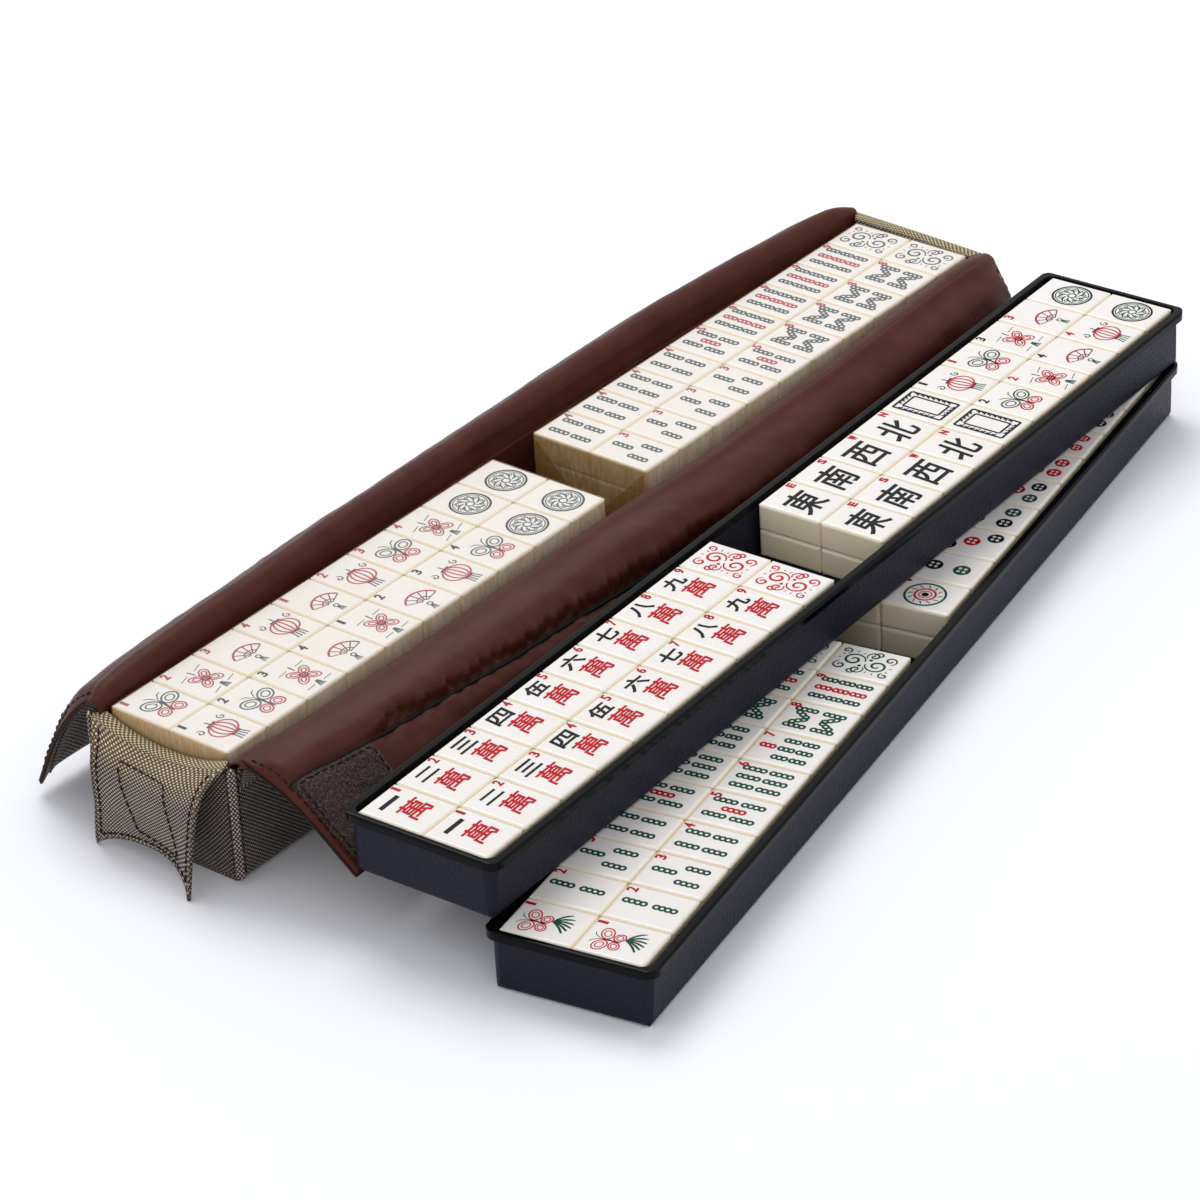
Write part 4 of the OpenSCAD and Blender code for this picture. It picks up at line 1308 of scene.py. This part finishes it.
def write(text, cx, cy, wide, tall, slant=0.0, bold=0.6):
    # A character, and ribbons along its outline that make it bolder: neighbours are in different shapes,
    # so that no two ribbons of a shape overlap
    verts, faces, rim = glyph(text)
    verts = [(cx + x * wide + slant * y * tall, cy + y * tall) for x, y in verts]
    shapes = [(verts, faces)] + [([], []) for _ in range(6)]
    for k, (i, j) in enumerate(rim):
        (ax, ay), (bx, by) = verts[i], verts[j]
        size = math.dist(verts[i], verts[j]) or 1
        ex, ey = (bx - ax) / size * bold / 2, (by - ay) / size * bold / 2
        ribbonVerts, ribbonFaces = shapes[1 + k % 6]
        start = len(ribbonVerts)
        ribbonVerts += [(ax - ex - ey, ay - ey + ex), (ax - ex + ey, ay - ey - ex),
                (bx + ex + ey, by + ey - ex), (bx + ex - ey, by + ey + ex)]
        ribbonFaces.append((start, start + 1, start + 2, start + 3))
    return shapes


def inked(ink, shapes):
    return [(ink, shape) for shape in shapes]


def stick(cx, cy, tall=9.6, turn=0.0, beads=4, wide=1.2):
    # A bamboo cane: a chain of open beads
    shapes = []
    step = tall / beads
    c, s = math.cos(turn), math.sin(turn)
    for i in range(beads):
        y = (i - (beads - 1) / 2) * step
        points = circlePoints(0, y, wide, step * 0.52, 12)
        shapes.append(stroke([(cx + c * px - s * py, cy + s * px + c * py) for px, py in points], 1.05))
    return shapes


def wheel(cx, cy, r):
    # A coin: a filled disc whose four pale dots are laid on it
    return [disc(cx, cy, r)], [disc(cx + r * 0.45 * math.cos(a), cy + r * 0.45 * math.sin(a), r * 0.22, 10)
            for a in (0.785, 2.356, 3.927, 5.498)]


def spiral(cx, cy, r, turns, start=0.0, hand=1, count=40):
    return [(cx + r * (1 - 0.86 * i / count) * math.cos(start + hand * math.tau * turns * i / count),
            cy + r * (1 - 0.86 * i / count) * math.sin(start + hand * math.tau * turns * i / count))
            for i in range(count + 1)]


def number(text, ink="red", at=None):
    x, y = at or marks["numberAt"]
    slim = str(text) == "1"
    wide = marks["numberTall"] * (0.34 if slim else 0.55)
    return inked(ink, write(str(text), x, y, wide, marks["numberTall"], 0, 0.15 if slim else 0.42))


def characterFace(value):
    # A numeral over the sign for ten thousand, with a plain figure in the corner
    sign = "一二三四伍六七八九"[value - 1]
    tall = {1: 1.5, 2: 4.6, 3: 6.4}.get(value, 7.2)
    return (inked("black", write(sign, -0.6, 8.2, 10.2, tall, 0.12)) + number(value)
            + inked("red", write("萬", 1.2, -2.4, 11.8, 10.6, 0.1, 0.4)))


def windFace(value):
    sign, letter = (("東", "E"), ("南", "S"), ("西", "W"), ("北", "N"))[value]
    return inked("black", write(sign, -0.8, -1.0, 14.4, 16.6, 0.08)) + inked("red",
            write(letter, 7.6, 11.4, 2.6, 3.4))


def frameFace():
    # A double frame with a key pattern between its lines
    face = []
    for half, tall, wide in ((7.6, 11.6, 1.1), (4.6, 8.6, 1.0)):
        box = [(-half, -tall), (half, -tall), (half, tall), (-half, tall), (-half, -tall)]
        face += [("black", stroke([a, b], wide)) for a, b in zip(box, box[1:])]
    for side in (-1, 1):
        for i in range(7):
            v = -7.8 + i * 2.6
            face.append(("black", stroke([(side * 5.6, v), (side * 6.7, v), (side * 6.7, v + 1.6)], 0.8)))
        for i in range(4):
            u = -3.6 + i * 2.4
            face.append(("black", stroke([(u, side * 9.6), (u, side * 10.7), (u + 1.5, side * 10.7)], 0.8)))
    return face


stickPlaces = {
    2: [(1, 7.0), (1, -5.4)],
    3: [(0.6, 6.4), (5.2, -5.2), (-4.4, -5.2)],
    4: [(4.8, 6.2), (-4.4, 6.2), (4.8, -5.2), (-4.4, -5.2)],
    5: [(5.4, 6.4), (-4.8, 6.4), (5.4, -5.2), (-4.8, -5.2)],
    6: [(-6, 5.8), (0.2, 5.8), (6.2, 5.8), (-6, -5.4), (0.2, -5.4), (6.2, -5.4)],
    9: [(x, y) for y in (7.2, -0.2, -7.6) for x in (-6, 0.2, 6.4)],
}


def sticksFace(value, inkPair=("green", "red")):
    green, red = inkPair
    face = []
    if value == 7:
        face += [(red, s) for s in stick(0.4, 8.8, 6.0, 0, 3)]
        for y in (1.0, -6.6):
            for x in (-6, 0.2, 6.4):
                face += [(green, s) for s in stick(x, y, 6.4, 0, 3)]
    elif value == 8:
        # Two pairs of slanted canes that meet in the middle, above and below
        for flip in (1, -1):
            for x, turn in ((-6.0, 0), (6.0, 0), (-2.2, 0.62 * flip), (2.2, -0.62 * flip)):
                y = flip * 5.9
                face += [(green, s) for s in stick(x, y, 9.0 if abs(x) > 5 else 7.0, turn,
                        4 if abs(x) > 5 else 3, 1.15)]
    else:
        tall, beads = (6.4, 3) if value == 9 else (9.4, 4)
        for i, (x, y) in enumerate(stickPlaces[value]):
            ink = red if value == 9 and abs(x) < 1 else green
            face += [(ink, s) for s in stick(x, y, tall, 0, beads)]
        if value == 5:
            face += [(red, s) for s in stick(0.3, 0.6, 9.4, 0, 4)]
    faded = green.startswith("faded")
    return face + number(value, "fadedRed" if faded else "red")


dotPlaces = {
    2: [(0, 6.4), (0, -5.8)], 3: [(-5.4, 8.2), (0, 0), (5.4, -8.2)],
    4: [(-4.6, 6.2), (4.6, 6.2), (-4.6, -6.2), (4.6, -6.2)],
    5: [(-5, 7.6), (5, 7.6), (0, 0), (-5, -7.6), (5, -7.6)],
    6: [(-4.4, 8.2), (4.4, 8.2), (-4.4, -0.6), (4.4, -0.6), (-4.4, -8.4), (4.4, -8.4)],
    7: [(-6, 10.4), (0, 8.6), (6, 6.8), (-4.2, -1.2), (4.2, -1.2), (-4.2, -8.6), (4.2, -8.6)],
    8: [(x, y) for y in (9.6, 3.2, -3.2, -9.6) for x in (-4.2, 4.2)],
    9: [(x, y) for y in (8.6, 0, -8.6) for x in (-6.2, 0, 6.2)],
}


def dotsFace(value):
    face = []
    if value == 1:
        face.append(("green", ring(0, 0, 8.4, 1.0)))
        for i in range(12):
            a = math.tau * i / 12
            face.append(("green", stroke([(5.2 * math.cos(a), 5.2 * math.sin(a)),
                    (7.2 * math.cos(a + 0.18), 7.2 * math.sin(a + 0.18))], 1.0, 0.5)))
        face += [("red", ring(0, 0, 4.3, 0.9)), ("black", disc(0, 0, 1.5)), ("red", ring(0, 0, 2.6, 0.5))]
        return face + number(1)
    size = {2: 3.7, 3: 3.5, 4: 3.5, 5: 3.3, 6: 3.2, 7: 2.7, 8: 2.9, 9: 2.8}[value]
    for i, (x, y) in enumerate(dotPlaces[value]):
        ink = "red" if (value in (5, 3) and (x, y) == (0, 0)) or (value in (6, 7) and y < 0) else ("green"
                if i % 2 else "black")
        solid, pale = wheel(x, y, size)
        face += [(ink, s) for s in solid] + [("cream", s) for s in pale]
    return face + number(value)


def scrollFace(ink):
    # Generic ornament of curls, of about the weight of a brush drawing
    face = []
    curls = ((0.8, 5.2, 4.8, 1.5, -1.57, 1, 1.1), (5.8, -1.6, 3.0, 1.3, 2.4, -1, 0.9),
            (-5.0, 9.0, 2.9, 1.3, 0.4, 1, 0.9), (6.6, 10.4, 2.2, 1.2, 3.6, 1, 0.8),
            (-7.4, 3.4, 2.2, 1.2, 5.6, -1, 0.8))
    for flip in (1, -1):
        for cx, cy, r, turns, start, hand, wide in curls:
            line = spiral(cx, cy, r, turns, start, hand)
            face.append((ink, stroke([(flip * 0.95 * x, flip * y) for x, y in line], wide, 0.5)))
        for i in range(5):
            a = -0.4 + i * 0.5
            face.append((ink, stroke([(flip * (0.8 + r * math.cos(a)), flip * (5.2 + r * math.sin(a)))
                    for r in (5.4, 6.6)], 0.8, 0.4)))
        face.append((ink, disc(-flip * 2.6, flip * 1.4, 0.8, 10)))
    return face


def fanShapes():
    # A folding fan: ribs between two arcs, and a tassel
    red = [stroke([(8.2 * math.cos(a), 8.2 * math.sin(a) - 4) for a in (0.35 + 0.2 * i for i in range(13))],
            0.95), stroke([(3.6 * math.cos(a), 3.6 * math.sin(a) - 4)
            for a in (0.35 + 0.2 * i for i in range(13))], 0.65)]
    black = [stroke([(1.0 * math.cos(a), 1.0 * math.sin(a) - 4),
            (7.8 * math.cos(a), 7.8 * math.sin(a) - 4)], 0.5) for a in (0.35 + 0.48 * i for i in range(6))]
    green = [ring(0, -6.4, 1.1, 0.6, None, 12)] + [stroke([(x * 0.4, -7.6), (x, -11)], 0.6)
            for x in (-1.2, 0, 1.2)]
    return red, green, black


def lanternShapes():
    # A round lantern with caps and tassels
    red = [ring(0, 0, r, 0.75, 5.4, 24) for r in (6.4, 3.8, 1.2)]
    black = [stroke([(-2.6, y), (2.6, y)], 1.0) for y in (5.8, -5.8)] + [stroke([(0, 6), (0, 9)], 0.6)]
    green = [stroke([(x, -6.4), (x * 1.3, -10.6)], 0.65) for x in (-2, -0.7, 0.7, 2)]
    green += [stroke(spiral(side * 7.0, 5.8, 1.9, 1.1, 1.57, side), 0.65, 0.3) for side in (-1, 1)]
    return red, green, black


def wingShapes():
    # Two pairs of open wings on a thin body
    red, green, black = [], [], [stroke([(0, 5), (0.2, 0), (0, -6)], 1.1, 0.6)]
    for side in (-1, 1):
        for k, grow in ((0, 1.0), (1, 0.55)):
            green.append(stroke([(side * (4.6 + grow * (3.9 * math.cos(t) - 0.8 * math.sin(t))),
                    3.0 + grow * (3.2 * math.sin(t) + 1.4 * math.cos(t)))
                    for t in (math.tau * i / 18 for i in range(19))], 0.75 - 0.15 * k))
            red.append(stroke([(side * (3.4 + grow * (2.8 * math.cos(t) + 0.5 * math.sin(t))),
                    -4.2 + grow * (2.7 * math.sin(t) - 0.9 * math.cos(t)))
                    for t in (math.tau * i / 16 for i in range(17))], 0.75 - 0.15 * k))
        black.append(stroke([(side * 0.3, 5), (side * 2, 8), (side * 4, 9)], 0.5, 0.3))
    return red, green, black


def knotShapes():
    # A flat knot of four loops, hung on a cord, with a bead and a tassel
    red = []
    for i in range(4):
        a = math.tau * i / 4 + math.pi / 4
        for grow in (1.0, 0.5):
            loop = [(3.6 * math.cos(a) + grow * (3.4 * math.cos(a) * math.cos(t) - 2.1 * math.sin(a)
                    * math.sin(t)), 3.6 * math.sin(a) + grow * (3.4 * math.sin(a) * math.cos(t) + 2.1
                    * math.cos(a) * math.sin(t))) for t in (math.tau * k / 16 for k in range(17))]
            red.append(stroke(loop, 0.65))
    green = [stroke([(x * 0.3, -6.6), (x, -11)], 0.6) for x in (-1.5, -0.5, 0.5, 1.5)]
    green += [stroke([(side * 2.4, y), (side * 7.4, y + side * 0.8)], 0.6, 0.4) for side in (-1, 1)
            for y in (-8.6, 7.2)]
    black = [ring(0, 0, 1.5, 0.8, None, 14), stroke([(0, 5), (0, 9)], 0.6)]
    return red, green, black


def motifFace(value, kind=0):
    # Generic motif beside a plain figure
    red, green, black = (fanShapes, lanternShapes, wingShapes, knotShapes)[(value + kind) % 4]()
    lean = 0.1 * ((value * 3 + kind) % 4) - 0.15
    face = [(ink, ([(1.0 + x * 0.98 - lean * y, -2.2 + y * 0.98 + lean * x) for x, y in verts], faces))
            for ink, shapes in (("red", red), ("green", green), ("black", black)) for verts, faces in shapes]
    return face + number(value, "red" if kind % 2 else "black", (-7.4, 11.4))


def medallionFace():
    # Generic round medallion: a ring round a wheel of curved rays
    face = [("black", ring(0.2, -1.6, 8.4, 0.95, None, 36)), ("green", ring(0.2, -1.6, 7.2, 0.5, None, 36)),
            ("green", ring(0.2, -1.6, 1.8, 0.7, None, 14))]
    for i in range(9):
        a = math.tau * i / 9
        ray = [(0.2 + r * math.cos(a + (r - 2) * 0.2), -1.6 + r * math.sin(a + (r - 2) * 0.2))
               for r in (2.5, 3.6, 4.6, 5.6, 6.6)]
        face.append(("green", stroke(ray, 0.9, 0.5)))
        b = a + math.pi / 9
        face.append(("green", ring(0.2 + 5.2 * math.cos(b), -1.6 + 5.2 * math.sin(b), 0.7, 0.5, None, 8)))
    return face


def budFace():
    # Generic motif in the place of the first cane tile: open wings over green blades
    red, green, black = wingShapes()
    face = [(ink, ([(-1.6 + x * 0.8, 4.2 + y * 0.75) for x, y in verts], faces)) for ink,
            shapes in (("red", red + green), ("black", black)) for verts, faces in shapes]
    for i in range(6):
        a = -0.35 - i * 0.32
        blade = [(0.6 + r * math.cos(a - 0.05 * r), -1.4 + r * math.sin(a - 0.03 * r))
                for r in (0, 2.5, 5, 7.6, 9.6 - 0.5 * i)]
        face.append(("green", stroke(blade, 1.0, 0.6)))
    return face + number(1)


def faded(face):
    return [({"red": "fadedRed", "green": "fadedGreen", "black": "fadedBlack"}.get(ink, ink), shape)
            for ink, shape in face]


# What each tile shows, row by row from the near end: left column, right column
canes = ("fadedGreen", "fadedRed")
layout = {"upper_near_tiles_top": [(characterFace(i), characterFace(i)) for i in range(1, 10)]
        + [(scrollFace("red"), scrollFace("red"))], "upper_far_tiles_top": [(windFace(i), windFace(i))
        for i in range(4)] + [(frameFace(), frameFace())] + [(motifFace(1), motifFace(2)),
        (motifFace(1, 1), motifFace(2, 1)), (motifFace(3), motifFace(4)),
        (motifFace(3, 1), motifFace(4, 1)), (medallionFace(), medallionFace())],
        "lower_near_tiles_top": [(budFace(), budFace())] + [(sticksFace(i), sticksFace(i))
        for i in range(2, 10)] + [(scrollFace("green"), scrollFace("green"))],
        "lower_far_tiles_top": [(dotsFace(i), dotsFace(i)) for i in range(1, 10)]
        + [(scrollFace("green"), scrollFace("green"))], "near_block_layer_4": [(faded(motifFace(i, 1)),
        faded(motifFace(i))) for i in (1, 2, 3, 4)] + [(faded(motifFace(i, 3)), faded(motifFace(i, 2)))
        for i in (1, 2, 3, 4)] + [(faded(medallionFace()), faded(medallionFace()))] * 2,
        "far_block_layer_4": [(sticksFace(4, canes), sticksFace(3, canes))] * 4
        + [(sticksFace(5, canes), sticksFace(5, canes))] + [(sticksFace(9, canes), sticksFace(8, canes))]
        * 4 + [(faded(scrollFace("green")), faded(scrollFace("green")))], }
bodyOf = {"upper_near_tiles_top": "upper_near_tiles", "upper_far_tiles_top": "upper_far_tiles",
        "lower_near_tiles_top": "lower_tray", "lower_far_tiles_top": "lower_tray",
        "near_block_layer_4": "near_block", "far_block_layer_4": "far_block"}

for node, rows in layout.items():
    columns, along, up = tilePlaces(node)
    shapes = {}
    for r, row in enumerate(rows):
        for key, face in zip("LR", row):
            centre = columns[key][r]
            for i, (ink, (verts, faces)) in enumerate(face):
                # Each shape lies 2 microns under the one before, so none lies in another's plane
                lift = marks["proud"] * (1.8 if ink == "cream" else 1.0) - 0.002 * mm * (i % 12)
                allVerts, allFaces = shapes.setdefault(ink, ([], []))
                start = len(allVerts)
                allVerts += [centre + along * (x * mm) + up * (y * mm) + Vector((0, 0, lift)) for x,
                        y in verts]
                allFaces += [tuple(start + k for k in f) for f in faces]
    for ink, (verts, faces) in shapes.items():
        piece = newPiece(node + "_" + ink, verts, faces, inks[ink], False)
        flip = bmesh.new()
        flip.from_mesh(piece.data)
        for face in flip.faces:
            face.normal_update()
            if face.normal.z < 0:
                face.normal_flip()
        flip.to_mesh(piece.data)
        flip.free()
        sink = piece.modifiers.new("depth", "SOLIDIFY")
        sink.thickness = marks["deep"]
        sink.offset = -1
        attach(piece, bodyOf[node])
print("marks: done")


studio = {
    "floor": "#ffffff",
    "world": "#f4f6ff",
    "worldStrength": 0.78,
    "keyPower": 18.0,
    "keySize": 1.3,
    "keyAt": (-0.7, 0.5, 1.9),
    "fillPower": 1.5,
    "fillAt": (1.2, -1.5, 1.1),
}

floorMesh = bpy.data.meshes.new("studioFloor")
floorMesh.from_pydata([(-6, -6, 0), (6, -6, 0), (6, 6, 0), (-6, 6, 0)], [], [(0, 1, 2, 3)])
floor = addObject("studioFloor", floorMesh)
floorMaterial, floorTree, floorShader = newMaterial("paintedBoard",
        {"Roughness": 0.9, "Specular IOR Level": 0.1, "Base Color": colour(studio["floor"])})
floorMesh.materials.append(floorMaterial)

world = bpy.data.worlds.new("studio")
world.use_nodes = True
bpy.context.scene.world = world
sky = world.node_tree
sky.nodes.clear()
path = addNode(sky, "LightPath")
soft = addNode(sky, "Background", {"Color": colour(studio["world"]), "Strength": studio["worldStrength"]})
white = addNode(sky, "Background", {"Color": (1, 1, 1, 1), "Strength": 1.0})
direct = addNode(sky, "Math", {"operation": "MAXIMUM"}, {0: path.outputs["Is Camera Ray"],
        1: path.outputs["Is Transmission Ray"]})
seen = addNode(sky, "Math", {"operation": "MAXIMUM"}, {0: direct, 1: path.outputs["Is Glossy Ray"]})
both = addNode(sky, "MixShader", None, {0: seen, 1: soft, 2: white})
addNode(sky, "OutputWorld", None, {"Surface": both})


def softBox(name, at, size, power):
    lamp = bpy.data.lights.new(name, "AREA")
    lamp.shape = "DISK"
    lamp.size = size
    lamp.energy = power
    holder = addObject(name, lamp)
    holder.location = at
    holder.rotation_mode = "QUATERNION"
    holder.rotation_quaternion = (-Vector(at)).to_track_quat("-Z", "Y")


softBox("keyLight", studio["keyAt"], studio["keySize"], studio["keyPower"])
softBox("fillLight", studio["fillAt"], studio["keySize"], studio["fillPower"])

view = {
    "focalPixels": 4962.3,   # of the photograph, whose frame is 1200 pixels wide
    "framePixels": 1200,
    "azimuth": 40.146,
    "elevation": 30.89,
    "roll": -3.4,
    "distance": 2.04908,
    "target": (0.01957, -0.00841, 0.0),
}
azimuth, elevation, roll = (math.radians(view[k]) for k in ("azimuth", "elevation", "roll"))
back = Vector((math.sin(azimuth) * math.cos(elevation), -math.cos(azimuth) * math.cos(elevation),
        math.sin(elevation)))
level = Vector((math.cos(azimuth), math.sin(azimuth), 0))
over = back.cross(level)
right = level * math.cos(roll) + over * math.sin(roll)
top = over * math.cos(roll) - level * math.sin(roll)
lens = bpy.data.cameras.new("camera")
lens.sensor_width = 36
lens.lens = view["focalPixels"] * lens.sensor_width / view["framePixels"]
camera = addObject("camera", lens)
pose = Matrix((right, top, back)).transposed().to_4x4()
pose.translation = Vector(view["target"]) + back * view["distance"]
camera.matrix_world = pose
bpy.context.scene.camera = camera
bpy.context.scene.view_settings.view_transform = "Standard"
print("studio: done")
